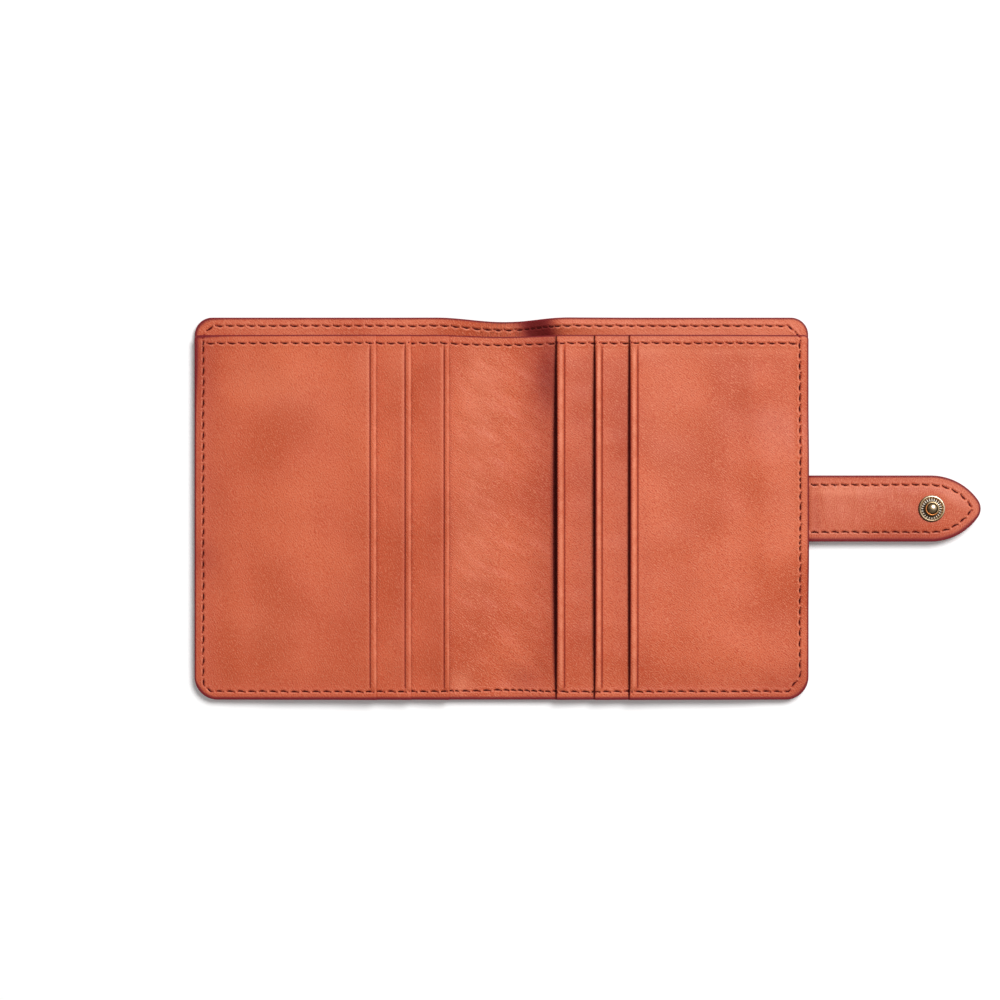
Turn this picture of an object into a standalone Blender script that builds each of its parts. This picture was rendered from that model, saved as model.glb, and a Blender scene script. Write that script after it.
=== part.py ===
"""Folding card wallet with a strap and a press snap, lying open on its outer side.

+X runs from the fold towards the strap, +Y towards the open top edge of the wallet and
+Z up, out of the pockets. The origin is on the outer face of the spine, half way up it.
Each ply is its own closed sheet. The plies are laid one on another, so the stack is
thick at the pocket mouths and thin at the outer seams.
"""

import math

import bmesh
import bpy
from mathutils import Matrix, Vector

MM = 0.001

# Outline of the wallet, opened flat
WALLET_HEIGHT = 101.6 * MM
BACK_REACH = 81.2 * MM
FRONT_OVERREACH = 0.8 * MM
FRONT_REACH = BACK_REACH + FRONT_OVERREACH
SHELL_TOP_CORNER = 4.6 * MM
BOTTOM_CORNER = 6.1 * MM
INTERIOR_DROP = 4.8 * MM
INTERIOR_TOP_CORNER = 1.2 * MM
FACING_DEPTH = 7.0 * MM

# The top edge is a little lower across the spine
SHELL_DIP = 1.2 * MM
INTERIOR_DIP = 0.5 * MM
DIP_REACH = 18.0 * MM

# Thickness of the materials, and the room between them
SHELL_LEATHER = 1.2 * MM
LINING_CLOTH = 0.3 * MM
POCKET_LEATHER = 0.7 * MM
TAIL_CLOTH = 0.3 * MM
PLY_GAP = 0.3 * MM
COMPARTMENT_GAP = 0.6 * MM
SETTLE_RUN = 4.0 * MM
SETTLE_SLOPE = 0.25

# Card pockets: how much of each strip shows, and how deep a card goes in
CENTRE_HALF_WIDTH = 14.2 * MM
LOWER_STRIP_SHOWS = 10.1 * MM
MIDDLE_STRIP_SHOWS = 9.2 * MM
STRIP_TUCK = 8.0 * MM
POCKET_DEPTH = 46.0 * MM
TAIL_INSET = 8.0 * MM
TAIL_SEAM_ROOM = 3.0 * MM
HEM_WIDTH = 2.0 * MM
HEM_RISE = 0.3 * MM
HEM_EDGE = 0.35 * MM

# The fold: the cut between neighbouring bodies, and the room left when it is closed
FOLD_CUT = 0.3 * MM
CLOSED_GAP = 1.6 * MM

# Strap
STRAP_WIDTH = 17.6 * MM
STRAP_LENGTH = 45.7 * MM
STRAP_LEATHER = 0.9 * MM
STRAP_LINING = 0.7 * MM
STRAP_TIP_LENGTH = 13.3 * MM
STRAP_TIP_RADIUS = 4.0 * MM
TONGUE_LEATHER = 0.8 * MM
TONGUE_TUCK = 12.0 * MM
TONGUE_SHOULDER = 0.6 * MM

# Snap: the stud and its cap on the strap
STUD_FROM_TIP = 13.1 * MM
STUD_RADIUS = 3.55 * MM
STUD_HEIGHT = 2.1 * MM
STUD_RIM_HEIGHT = 0.5 * MM
STUD_CONE_HEIGHT = 0.9 * MM
STUD_RIM_WIDTH = 0.65 * MM
STUD_WALL = 0.35 * MM
KNOB_RADIUS = 1.8 * MM
KNOB_UNDERCUT = 0.15 * MM
FLUTE_COUNT = 24
FLUTE_DEPTH = 0.12 * MM
POST_RADIUS = 0.8 * MM
POST_HEAD_RADIUS = 1.25 * MM
POST_HEAD_SINK = 0.15 * MM
CAP_RADIUS = 5.0 * MM
CAP_HEIGHT = 1.0 * MM
CAP_EDGE = 0.35 * MM

# Snap: the socket on the front
SOCKET_RADIUS = 4.0 * MM
SOCKET_PROUD = 1.2 * MM
SOCKET_PLATE = 0.3 * MM
SOCKET_LIP = 0.25 * MM
SOCKET_SEAT_DEPTH = 0.6 * MM
SNAP_GAP = 0.2 * MM
KNOB_ROOM = 0.6 * MM
SPRING_WIRE = 0.25 * MM
SPRING_OPENING = 40.0
EYELET_RADIUS = 1.2 * MM
EYELET_BORE = 0.6 * MM
EYELET_FLANGE_RADIUS = 3.4 * MM

# Shares of a size, where metal is rounded or drawn in
ROUNDING_SHARE = 0.3
CONE_FOOT_SHARE = 0.5
GROOVE_SHARE = 0.35
POST_HEAD_SHOULDER = 0.4
POST_HEAD_BEVEL = 0.8
POST_HEAD_CROWN = 0.75

# Numbers that only set how fine the mesh is
TOUCH = 1e-7
CORNER_STEPS = 5
DIP_STEP = 3.0 * MM
ROUND_STEPS = 40
DOME_STEPS = 5
SPRING_STEPS = 28

# Colours and surfaces: colour, roughness, metallic
TERRACOTTA = ((0.60, 0.15, 0.075), 0.55, 0.0)
TERRACOTTA_INSIDE = ((0.57, 0.14, 0.07), 0.55, 0.0)
STRAP_TONE = ((0.56, 0.12, 0.065), 0.50, 0.0)
LINING_TONE = ((0.23, 0.11, 0.07), 0.85, 0.0)
TAIL_TONE = ((0.27, 0.15, 0.10), 0.85, 0.0)
GILT = ((0.55, 0.42, 0.20), 0.30, 1.0)
STEEL = ((0.55, 0.55, 0.55), 0.35, 1.0)


# Sizes worked out from the ones above

HALF_HEIGHT = WALLET_HEIGHT / 2
INTERIOR_TOP = HALF_HEIGHT - INTERIOR_DROP
FACING_BOTTOM = HALF_HEIGHT - FACING_DEPTH
LINING_TOP = FACING_BOTTOM - PLY_GAP
LOWER_MOUTH = CENTRE_HALF_WIDTH
MIDDLE_MOUTH = LOWER_MOUTH + LOWER_STRIP_SHOWS
UPPER_MOUTH = MIDDLE_MOUTH + MIDDLE_STRIP_SHOWS
PANEL_END = LOWER_MOUTH + STRIP_TUCK
LOWER_STRIP_END = MIDDLE_MOUTH + STRIP_TUCK
MIDDLE_STRIP_END = UPPER_MOUTH + STRIP_TUCK
STRAP_THICKNESS = STRAP_LEATHER + PLY_GAP + STRAP_LINING


def clear_scene():
    """Take away whatever the scene holds."""
    for item in list(bpy.data.objects):
        bpy.data.objects.remove(item, do_unlink=True)


def surface(name, finish):
    """Give a node its own material."""
    colour, roughness, metallic = finish
    material = bpy.data.materials.new(name)
    material.use_nodes = True
    shader = material.node_tree.nodes["Principled BSDF"]
    shader.inputs["Base Color"].default_value = (*colour, 1.0)
    shader.inputs["Roughness"].default_value = roughness
    shader.inputs["Metallic"].default_value = metallic
    return material


def link_mesh(name, shape, carrier, finish, smooth=False):
    """Turn a bmesh into a named object carried by an empty, with its origin on that empty."""
    bmesh.ops.recalc_face_normals(shape, faces=shape.faces[:])
    mesh = bpy.data.meshes.new(name)
    shape.to_mesh(mesh)
    shape.free()
    if smooth:
        mesh.shade_smooth()
        mesh.set_sharp_from_angle(angle=math.radians(35))
    mesh.transform(Matrix.Translation(-world_place(carrier)))
    item = bpy.data.objects.new(name, mesh)
    bpy.context.collection.objects.link(item)
    item.parent = carrier
    mesh.materials.append(surface(name, finish))
    return item


def axis_empty(name, place, carrier=None):
    """An empty on a joint's axis, which carries the pieces that turn with it."""
    empty = bpy.data.objects.new(name, None)
    bpy.context.collection.objects.link(empty)
    empty.parent = carrier
    empty.location = Vector(place)
    if carrier is not None:
        empty.location -= world_place(carrier)
    return empty


def world_place(empty):
    """Where an empty is, adding up the places of the empties that carry it."""
    place = Vector((0.0, 0.0, 0.0))
    while empty is not None:
        place += empty.location
        empty = empty.parent
    return place


# The plies of a half


class Stack:
    """The plies of one half. Each is laid on what is under it, and comes down no steeper
    than the settling slope where that ends."""

    def __init__(self, stations, height):
        self.stations = stations
        self.tops = [height] * len(stations)

    def lay(self, spans, gap_at):
        """Lay one layer and return its underside as (distance from the fold, height) points.

        spans are the layer's pieces as (start, end, thickness).
        """
        carried = [(at, top + gap_at(at)) for at, top in zip(self.stations, self.tops)]
        under = [
            max(height - SETTLE_SLOPE * abs(station - at) for at, height in carried)
            for station in self.stations
        ]
        for index, station in enumerate(self.stations):
            for start, end, thickness in spans:
                if start - TOUCH <= station <= end + TOUCH:
                    self.tops[index] = under[index] + thickness
        return list(zip(self.stations, under))


def height_at(line, distance):
    """Height of a broken line at a distance from the fold."""
    for (before, low), (after, high) in zip(line, line[1:]):
        if distance <= after:
            share = (distance - before) / (after - before)
            return low + (high - low) * share
    return line[-1][1]


def plain_gap(_station):
    """The room between two plies that touch."""
    return PLY_GAP


def tail_end(mouth, reach):
    """Where a pocket's cloth tail ends, short of the outer seam."""
    return min(mouth + POCKET_DEPTH, reach - TAIL_SEAM_ROOM)


def tongue_start(reach):
    """Where the strap's tongue starts, inside the outer seam."""
    return reach - TONGUE_TUCK


def half_stations(reach):
    """Distances from the fold at which the plies of a half bend."""
    marks = {0.0, LOWER_MOUTH, MIDDLE_MOUTH, UPPER_MOUTH, reach}
    marks |= {tongue_start(reach) - SETTLE_RUN, tongue_start(reach)}
    ends = [PANEL_END, LOWER_STRIP_END, MIDDLE_STRIP_END]
    ends += [tail_end(LOWER_MOUTH, reach), tail_end(MIDDLE_MOUTH, reach)]
    for end in ends:
        marks |= {end, end + SETTLE_RUN}
    inside = sorted(mark for mark in marks if mark <= reach)
    kept = [inside[0]]
    for mark in inside[1:]:
        if mark - kept[-1] > TOUCH:
            kept.append(mark)
    return kept


def half_plies(reach, has_tongue):
    """Undersides of the plies of a half, by name, and the stack that they make."""
    stack = Stack(half_stations(reach), SHELL_LEATHER)
    start = tongue_start(reach)
    lines = {"lining": stack.lay([(0.0, reach, LINING_CLOTH)], plain_gap)}
    if has_tongue:
        lines["tongue"] = stack.lay([(start, reach, TONGUE_LEATHER)], plain_gap)

    def compartment_gap(station):
        return PLY_GAP if station >= start - TOUCH else COMPARTMENT_GAP

    lower_tail = (LOWER_STRIP_END, tail_end(LOWER_MOUTH, reach), TAIL_CLOTH)
    middle_tail = (MIDDLE_STRIP_END, tail_end(MIDDLE_MOUTH, reach), TAIL_CLOTH)
    lower_strip = (LOWER_MOUTH, LOWER_STRIP_END, POCKET_LEATHER)
    middle_strip = (MIDDLE_MOUTH, MIDDLE_STRIP_END, POCKET_LEATHER)
    lines["compartment"] = stack.lay([(0.0, reach, LINING_CLOTH)], compartment_gap)
    lines["panel"] = stack.lay([(0.0, PANEL_END, POCKET_LEATHER)], plain_gap)
    lines["lower"] = stack.lay([lower_tail, lower_strip], plain_gap)
    lines["middle"] = stack.lay([middle_tail, middle_strip], plain_gap)
    lines["upper"] = stack.lay([(UPPER_MOUTH, reach, POCKET_LEATHER)], plain_gap)
    return lines


BACK_LINES = half_plies(BACK_REACH, True)
FRONT_LINES = half_plies(FRONT_REACH, False)


# The fold, worked out from the stack

def mouth_top(lines):
    """Height of the highest pocket hem of a half."""
    hems = (("lower", LOWER_MOUTH), ("middle", MIDDLE_MOUTH), ("upper", UPPER_MOUTH))
    tops = [height_at(lines[name], mouth) + POCKET_LEATHER + HEM_RISE for name, mouth in hems]
    return max(tops)


FOLD_HEIGHT = height_at(BACK_LINES["panel"], 0.0) + POCKET_LEATHER
STACK_TOP = max(mouth_top(BACK_LINES), mouth_top(FRONT_LINES))
SPINE_WIDTH = 2 * (STACK_TOP - FOLD_HEIGHT) + CLOSED_GAP
CLOSED_HEIGHT = SPINE_WIDTH + 2 * FOLD_HEIGHT
HALF_START = SPINE_WIDTH / 2 + FOLD_CUT / 2
SPINE_END = SPINE_WIDTH / 2 - FOLD_CUT / 2


# The strap and the snap, worked out from the closed wallet

TONGUE_MIDDLE = height_at(BACK_LINES["tongue"], BACK_REACH) + TONGUE_LEATHER / 2
STRAP_UNDER = TONGUE_MIDDLE - STRAP_THICKNESS / 2
STRAP_FACE = STRAP_UNDER + STRAP_THICKNESS
EDGE_BEND = max(FRONT_REACH, BACK_REACH + TONGUE_SHOULDER) + PLY_GAP
SOCKET_PLATE_LEVEL = SOCKET_SEAT_DEPTH - PLY_GAP - SOCKET_PLATE
FACE_STANDOFF = STUD_HEIGHT + PLY_GAP - SOCKET_PLATE_LEVEL
WRAP_LENGTH = CLOSED_HEIGHT + FACE_STANDOFF - STRAP_FACE
TOP_BEND = EDGE_BEND + WRAP_LENGTH
STRAP_TIP = BACK_REACH + STRAP_LENGTH
STUD_PLACE = STRAP_TIP - STUD_FROM_TIP
SOCKET_PLACE = EDGE_BEND - (STUD_PLACE - TOP_BEND)
KNOB_HOLE = KNOB_RADIUS + KNOB_ROOM
POST_HOLE = POST_RADIUS + PLY_GAP
STUD_SHELF = PLY_GAP + STUD_RIM_HEIGHT
EYELET_HOLE = EYELET_RADIUS + PLY_GAP


# Outlines

def arc(centre, radius, start, end, steps=CORNER_STEPS):
    """Points on an arc from one angle to another, in degrees."""
    points = []
    for step in range(steps + 1):
        angle = math.radians(start + (end - start) * step / steps)
        points.append((centre[0] + radius * math.cos(angle), centre[1] + radius * math.sin(angle)))
    return points


def dip_at(distance, depth):
    """How much lower an edge is at a distance from the fold."""
    if abs(distance) >= DIP_REACH:
        return 0.0
    return depth * (1 + math.cos(math.pi * distance / DIP_REACH)) / 2


def dipped_edge(start, end, height, depth):
    """Points along a top edge that dips over the spine."""
    steps = max(1, math.ceil(abs(end - start) / DIP_STEP))
    places = [start + (end - start) * step / steps for step in range(steps + 1)]
    kept = [place for place in places[1:-1] if abs(place) < DIP_REACH]
    return [(place, height - dip_at(place, depth)) for place in [start, *kept, end]]


def ply_outline(start, end, top, bottom, dip, top_corner=0.0, bottom_corner=0.0):
    """Outline of a ply from its inner edge to its outer edge, with rounded outer corners."""
    points = [(start, bottom)]
    if bottom_corner > 0:
        points += arc((end - bottom_corner, bottom + bottom_corner), bottom_corner, -90, 0)
    else:
        points.append((end, bottom))
    if top_corner > 0:
        points += arc((end - top_corner, top - top_corner), top_corner, 0, 90)
        points += dipped_edge(end - top_corner, start, top, dip)[1:]
    else:
        points += dipped_edge(end, start, top, dip)
    return points


def spine_outline(top, dip, bottom=-HALF_HEIGHT):
    """Outline of a ply of the spine."""
    points = [(-SPINE_END, bottom), (SPINE_END, bottom)]
    return points + dipped_edge(SPINE_END, -SPINE_END, top, dip)


def strap_tip():
    """The pointed end of the strap: two wide arcs that meet a small one at the tip."""
    half = STRAP_WIDTH / 2
    run = STRAP_TIP_LENGTH - STRAP_TIP_RADIUS
    side = (run ** 2 + half ** 2 - STRAP_TIP_RADIUS ** 2) / (2 * (half - STRAP_TIP_RADIUS))
    shoulder = STRAP_TIP - STRAP_TIP_LENGTH
    turn = math.degrees(math.atan2(run, side - half))
    lower = arc((shoulder, side - half), side, -90, turn - 90)
    nose = arc((STRAP_TIP - STRAP_TIP_RADIUS, 0.0), STRAP_TIP_RADIUS, turn - 90, 90 - turn)
    upper = arc((shoulder, half - side), side, 90 - turn, 90)
    return lower + nose[1:-1] + upper


# Sheets

def sheet(name, outline, bends, under, over, carrier, finish, side=1):
    """A closed sheet: the outline cut at its bends, with an underside and a top height.

    The heights are functions of the distance from the fold. side -1 mirrors the sheet to
    the front half.
    """
    shape = bmesh.new()
    corners = [shape.verts.new((distance, across, 0.0)) for distance, across in outline]
    shape.faces.new(corners)
    for bend in bends:
        everything = shape.verts[:] + shape.edges[:] + shape.faces[:]
        bmesh.ops.bisect_plane(
            shape, geom=everything, dist=TOUCH, plane_co=(bend, 0, 0), plane_no=(1, 0, 0)
        )
    lower = shape.verts[:]
    copied = bmesh.ops.extrude_face_region(shape, geom=shape.faces[:])["geom"]
    upper = [item for item in copied if isinstance(item, bmesh.types.BMVert)]
    for vertex in lower:
        vertex.co.z = under(vertex.co.x)
    for vertex in upper:
        vertex.co.z = over(vertex.co.x)
    for vertex in shape.verts:
        vertex.co.x *= side
    return link_mesh(name, shape, carrier, finish)


def inner_bends(line, start, end):
    """The bends of a ply that lie between its two ends."""
    return [station for station, _height in line if start + TOUCH < station < end - TOUCH]


def level_sheet(name, outline, bottom, thickness, carrier, finish, side=1):
    """A flat sheet."""
    def under(_distance):
        return bottom

    def over(_distance):
        return bottom + thickness

    return sheet(name, outline, [], under, over, carrier, finish, side)


def laid_sheet(name, outline, ends, line, thickness, carrier, finish, side):
    """A sheet that follows the plies under it."""
    def under(distance):
        return height_at(line, distance)

    def over(distance):
        return height_at(line, distance) + thickness

    return sheet(name, outline, inner_bends(line, *ends), under, over, carrier, finish, side)


def hemmed_sheet(name, outline, ends, line, carrier, finish, side):
    """A pocket leather whose mouth is a thicker turned hem."""
    mouth = ends[0]
    hem = [
        (mouth, 0.0),
        (mouth + HEM_EDGE, HEM_RISE),
        (mouth + HEM_WIDTH - HEM_EDGE, HEM_RISE),
        (mouth + HEM_WIDTH, 0.0),
    ]

    def under(distance):
        return height_at(line, distance)

    def over(distance):
        rise = height_at(hem, distance) if distance < mouth + HEM_WIDTH else 0.0
        return height_at(line, distance) + POCKET_LEATHER + rise

    bends = inner_bends(line, *ends) + [place for place, _rise in hem[1:]]
    return sheet(name, outline, sorted(bends), under, over, carrier, finish, side)


def bore(item, place, radius, bottom, top):
    """Cut a round hole, or a round seat, through a piece."""
    shape = bmesh.new()
    middle = Matrix.Translation((place[0], place[1], (bottom + top) / 2))
    bmesh.ops.create_cone(
        shape, cap_ends=True, segments=ROUND_STEPS, radius1=radius, radius2=radius,
        depth=top - bottom, matrix=middle,
    )
    cutter = link_mesh(item.name + "_cutter", shape, item.parent, GILT)
    cutter.hide_render = True
    cutter.display_type = "WIRE"
    cut = item.modifiers.new("bore", "BOOLEAN")
    cut.operation = "DIFFERENCE"
    cut.solver = "EXACT"
    cut.object = cutter


# Sub-parts of a half

def make_half_shell(name, reach, carrier, side):
    """The outer leather of a half."""
    outline = ply_outline(
        HALF_START, reach, HALF_HEIGHT, -HALF_HEIGHT, SHELL_DIP, SHELL_TOP_CORNER, BOTTOM_CORNER
    )
    return level_sheet(name, outline, 0.0, SHELL_LEATHER, carrier, TERRACOTTA, side)


def make_half_lining(name, reach, line, carrier, side):
    """The cloth glued to the inside of the outer leather, up to the facing."""
    outline = ply_outline(HALF_START, reach, LINING_TOP, -HALF_HEIGHT, 0.0, 0.0, BOTTOM_CORNER)
    bottom = height_at(line, reach)
    return level_sheet(name, outline, bottom, LINING_CLOTH, carrier, LINING_TONE, side)


def make_facing(name, reach, line, carrier, side):
    """The leather band inside the top edge of the outer leather, level with the lining."""
    outline = ply_outline(
        HALF_START, reach, HALF_HEIGHT, FACING_BOTTOM, SHELL_DIP, SHELL_TOP_CORNER
    )
    bottom = height_at(line, reach)
    return level_sheet(name, outline, bottom, LINING_CLOTH, carrier, TERRACOTTA, side)


def interior_outline(start, reach):
    """Outline of an interior ply that goes right out to the outer seam."""
    return ply_outline(
        start, reach, INTERIOR_TOP, -HALF_HEIGHT, INTERIOR_DIP, INTERIOR_TOP_CORNER, BOTTOM_CORNER
    )


def make_compartment_lining(name, reach, line, carrier, side):
    """The cloth behind the pockets, which is the near wall of the note compartment."""
    outline = interior_outline(HALF_START, reach)
    ends = (HALF_START, reach)
    return laid_sheet(name, outline, ends, line, LINING_CLOTH, carrier, LINING_TONE, side)


def make_centre_panel(name, line, carrier, side):
    """The leather between the pockets, from the fold to where it is tucked under them."""
    outline = ply_outline(HALF_START, PANEL_END, INTERIOR_TOP, -HALF_HEIGHT, INTERIOR_DIP)
    ends = (HALF_START, PANEL_END)
    return laid_sheet(name, outline, ends, line, POCKET_LEATHER, carrier, TERRACOTTA_INSIDE, side)


def make_pocket_strip(name, mouth, end, line, carrier, side):
    """The leather strip of a lower or middle pocket."""
    outline = ply_outline(mouth, end, INTERIOR_TOP, -HALF_HEIGHT, INTERIOR_DIP)
    return hemmed_sheet(name, outline, (mouth, end), line, carrier, TERRACOTTA_INSIDE, side)


def make_pocket_tail(name, strip_end, mouth, reach, line, carrier, side):
    """The cloth that carries a pocket down to its depth, clear of the top and bottom seams."""
    start = strip_end + PLY_GAP
    end = tail_end(mouth, reach)
    top = INTERIOR_TOP - TAIL_INSET
    outline = ply_outline(start, end, top, -HALF_HEIGHT + TAIL_INSET, 0.0)
    return laid_sheet(name, outline, (start, end), line, TAIL_CLOTH, carrier, TAIL_TONE, side)


def make_upper_pocket(name, reach, line, carrier, side):
    """The wide leather of the upper pocket, out to the outer seam."""
    outline = interior_outline(UPPER_MOUTH, reach)
    ends = (UPPER_MOUTH, reach)
    return hemmed_sheet(name, outline, ends, line, carrier, TERRACOTTA_INSIDE, side)


def make_half(prefix, reach, lines, carrier, side):
    """All the leather and cloth of one half. Return its shell and its lining."""
    shell = make_half_shell(prefix + "_shell", reach, carrier, side)
    lining = make_half_lining(prefix + "_shell_lining", reach, lines["lining"], carrier, side)
    make_facing(prefix + "_facing", reach, lines["lining"], carrier, side)
    make_compartment_lining(
        prefix + "_compartment_lining", reach, lines["compartment"], carrier, side
    )
    make_centre_panel(prefix + "_centre_panel", lines["panel"], carrier, side)
    pockets = (
        ("lower", LOWER_MOUTH, LOWER_STRIP_END),
        ("middle", MIDDLE_MOUTH, MIDDLE_STRIP_END),
    )
    for level, mouth, end in pockets:
        name = prefix + "_" + level + "_pocket"
        make_pocket_strip(name, mouth, end, lines[level], carrier, side)
        make_pocket_tail(name + "_tail", end, mouth, reach, lines[level], carrier, side)
    make_upper_pocket(prefix + "_upper_pocket", reach, lines["upper"], carrier, side)
    return shell, lining


# Sub-parts of the spine

def make_spine(carrier):
    """The plies of the spine and its piece of the facing, between the two fold lines."""
    heights = {name: height_at(line, 0.0) for name, line in BACK_LINES.items()}
    shell = spine_outline(HALF_HEIGHT, SHELL_DIP)
    lining = spine_outline(LINING_TOP, 0.0)
    facing = spine_outline(HALF_HEIGHT, SHELL_DIP, FACING_BOTTOM)
    interior = spine_outline(INTERIOR_TOP, INTERIOR_DIP)
    level_sheet("spine_shell", shell, 0.0, SHELL_LEATHER, carrier, TERRACOTTA)
    level_sheet("spine_lining", lining, heights["lining"], LINING_CLOTH, carrier, LINING_TONE)
    level_sheet("spine_facing", facing, heights["lining"], LINING_CLOTH, carrier, TERRACOTTA)
    level_sheet(
        "spine_compartment_lining", interior, heights["compartment"], LINING_CLOTH, carrier,
        LINING_TONE,
    )
    level_sheet(
        "spine_centre_panel", interior, heights["panel"], POCKET_LEATHER, carrier,
        TERRACOTTA_INSIDE,
    )


# Sub-parts of the strap

def make_tongue(carrier):
    """The thinned root of the strap, sewn into the outer seam of the back half."""
    half = STRAP_WIDTH / 2
    start = tongue_start(BACK_REACH)
    end = EDGE_BEND - FOLD_CUT / 2
    outline = [(start, -half), (end, -half), (end, half), (start, half)]
    thin = TONGUE_LEATHER / 2
    thick = STRAP_THICKNESS / 2
    swell = [
        (start, thin), (BACK_REACH, thin), (BACK_REACH + TONGUE_SHOULDER, thick), (end, thick)
    ]
    bends = [place for place, _half_thickness in swell[1:-1]]

    def under(distance):
        return TONGUE_MIDDLE - height_at(swell, distance)

    def over(distance):
        return TONGUE_MIDDLE + height_at(swell, distance)

    return sheet("strap_tongue", outline, bends, under, over, carrier, STRAP_TONE)


def make_wrap(carrier):
    """The stretch of the strap that goes up the side of the closed wallet."""
    half = STRAP_WIDTH / 2
    start = EDGE_BEND + FOLD_CUT / 2
    end = TOP_BEND - FOLD_CUT / 2
    outline = [(start, -half), (end, -half), (end, half), (start, half)]
    lining_bottom = STRAP_FACE - STRAP_LINING
    level_sheet("strap_wrap_outer", outline, STRAP_UNDER, STRAP_LEATHER, carrier, STRAP_TONE)
    level_sheet("strap_wrap_lining", outline, lining_bottom, STRAP_LINING, carrier, STRAP_TONE)


def make_tab(carrier):
    """The end of the strap, which goes over the front and holds the snap's stud."""
    half = STRAP_WIDTH / 2
    start = TOP_BEND + FOLD_CUT / 2
    outline = [(start, -half), *strap_tip(), (start, half)]
    lining_bottom = STRAP_FACE - STRAP_LINING
    outer = level_sheet(
        "strap_tab_outer", outline, STRAP_UNDER, STRAP_LEATHER, carrier, STRAP_TONE
    )
    lining = level_sheet(
        "strap_tab_lining", outline, lining_bottom, STRAP_LINING, carrier, STRAP_TONE
    )
    for item in (outer, lining):
        bore(item, (STUD_PLACE, 0.0), POST_HOLE, STRAP_UNDER - PLY_GAP, STRAP_FACE + PLY_GAP)


# Sub-parts of the snap

def turn_profile(profile, steps, closed):
    """Turn a profile of (radius, height) points about the vertical axis."""
    shape = bmesh.new()
    points = [shape.verts.new((radius, 0.0, height)) for radius, height in profile]
    pairs = list(zip(points, points[1:]))
    if closed:
        pairs.append((points[-1], points[0]))
    edges = [shape.edges.new(pair) for pair in pairs]
    bmesh.ops.spin(
        shape, geom=points + edges, cent=(0, 0, 0), axis=(0, 0, 1), angle=2 * math.pi, steps=steps
    )
    bmesh.ops.remove_doubles(shape, verts=shape.verts[:], dist=TOUCH)
    return shape


def stand(shape, place, base):
    """Move a turned shape to its place in the wallet."""
    bmesh.ops.translate(shape, verts=shape.verts[:], vec=(place, 0.0, base))


def make_cap(carrier):
    """The domed cap on the outer face of the strap, with the post that holds the stud."""
    top = -PLY_GAP
    head = STRAP_THICKNESS + STUD_HEIGHT - POST_HEAD_SINK
    head_bottom = STRAP_THICKNESS + STUD_SHELF + PLY_GAP
    head_rise = head - head_bottom
    dome = [
        (CAP_RADIUS * math.sin(angle), top - CAP_EDGE - (CAP_HEIGHT - CAP_EDGE) * math.cos(angle))
        for angle in (math.pi / 2 * step / DOME_STEPS for step in range(DOME_STEPS + 1))
    ]
    shaft = [
        (CAP_RADIUS, top),
        (POST_RADIUS, top),
        (POST_RADIUS, head_bottom),
        (POST_HEAD_RADIUS, head_bottom),
        (POST_HEAD_RADIUS, head_bottom + head_rise * POST_HEAD_SHOULDER),
        (POST_HEAD_RADIUS * POST_HEAD_CROWN, head_bottom + head_rise * POST_HEAD_BEVEL),
        (0.0, head),
    ]
    shape = turn_profile(dome + shaft, ROUND_STEPS, False)
    stand(shape, STUD_PLACE, STRAP_UNDER)
    link_mesh("snap_cap", shape, carrier, GILT, smooth=True)


def make_stud(carrier):
    """The stud: a rolled rim, a fluted cone and a round knob with an open top."""
    hole = POST_HOLE
    rim = STUD_RADIUS - STUD_RIM_WIDTH
    neck = KNOB_RADIUS - KNOB_UNDERCUT
    rim_middle = PLY_GAP + STUD_RIM_HEIGHT / 2
    cone_top = PLY_GAP + STUD_CONE_HEIGHT
    knob_middle = (cone_top + STUD_HEIGHT) / 2
    knob_inner = KNOB_RADIUS - STUD_WALL
    cone_start = rim - STUD_WALL * CONE_FOOT_SHARE
    rolled = STUD_RADIUS - STUD_RIM_WIDTH * ROUNDING_SHARE
    cone_end = neck + STUD_WALL
    profile = [
        (hole, PLY_GAP),
        (rolled, PLY_GAP),
        (STUD_RADIUS, rim_middle),
        (rolled, STUD_SHELF),
        (rim, rim_middle),
        (cone_start, rim_middle),
        (cone_end, cone_top - STUD_WALL * ROUNDING_SHARE),
        (neck, cone_top),
        (KNOB_RADIUS, knob_middle),
        (KNOB_RADIUS - STUD_WALL * ROUNDING_SHARE, STUD_HEIGHT),
        (knob_inner, STUD_HEIGHT),
        (knob_inner, STUD_SHELF),
        (hole, STUD_SHELF),
    ]
    steps = 2 * FLUTE_COUNT
    shape = turn_profile(profile, steps, True)
    for vertex in shape.verts:
        radius = math.hypot(vertex.co.x, vertex.co.y)
        on_cone = cone_end - TOUCH < radius < cone_start + TOUCH
        above = vertex.co.z > rim_middle - TOUCH
        turn = round(math.atan2(vertex.co.y, vertex.co.x) / (2 * math.pi) * steps)
        if on_cone and above and turn % 2:
            vertex.co.z -= FLUTE_DEPTH
    stand(shape, STUD_PLACE, STRAP_FACE)
    link_mesh("snap_stud", shape, carrier, GILT, smooth=True)


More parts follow.
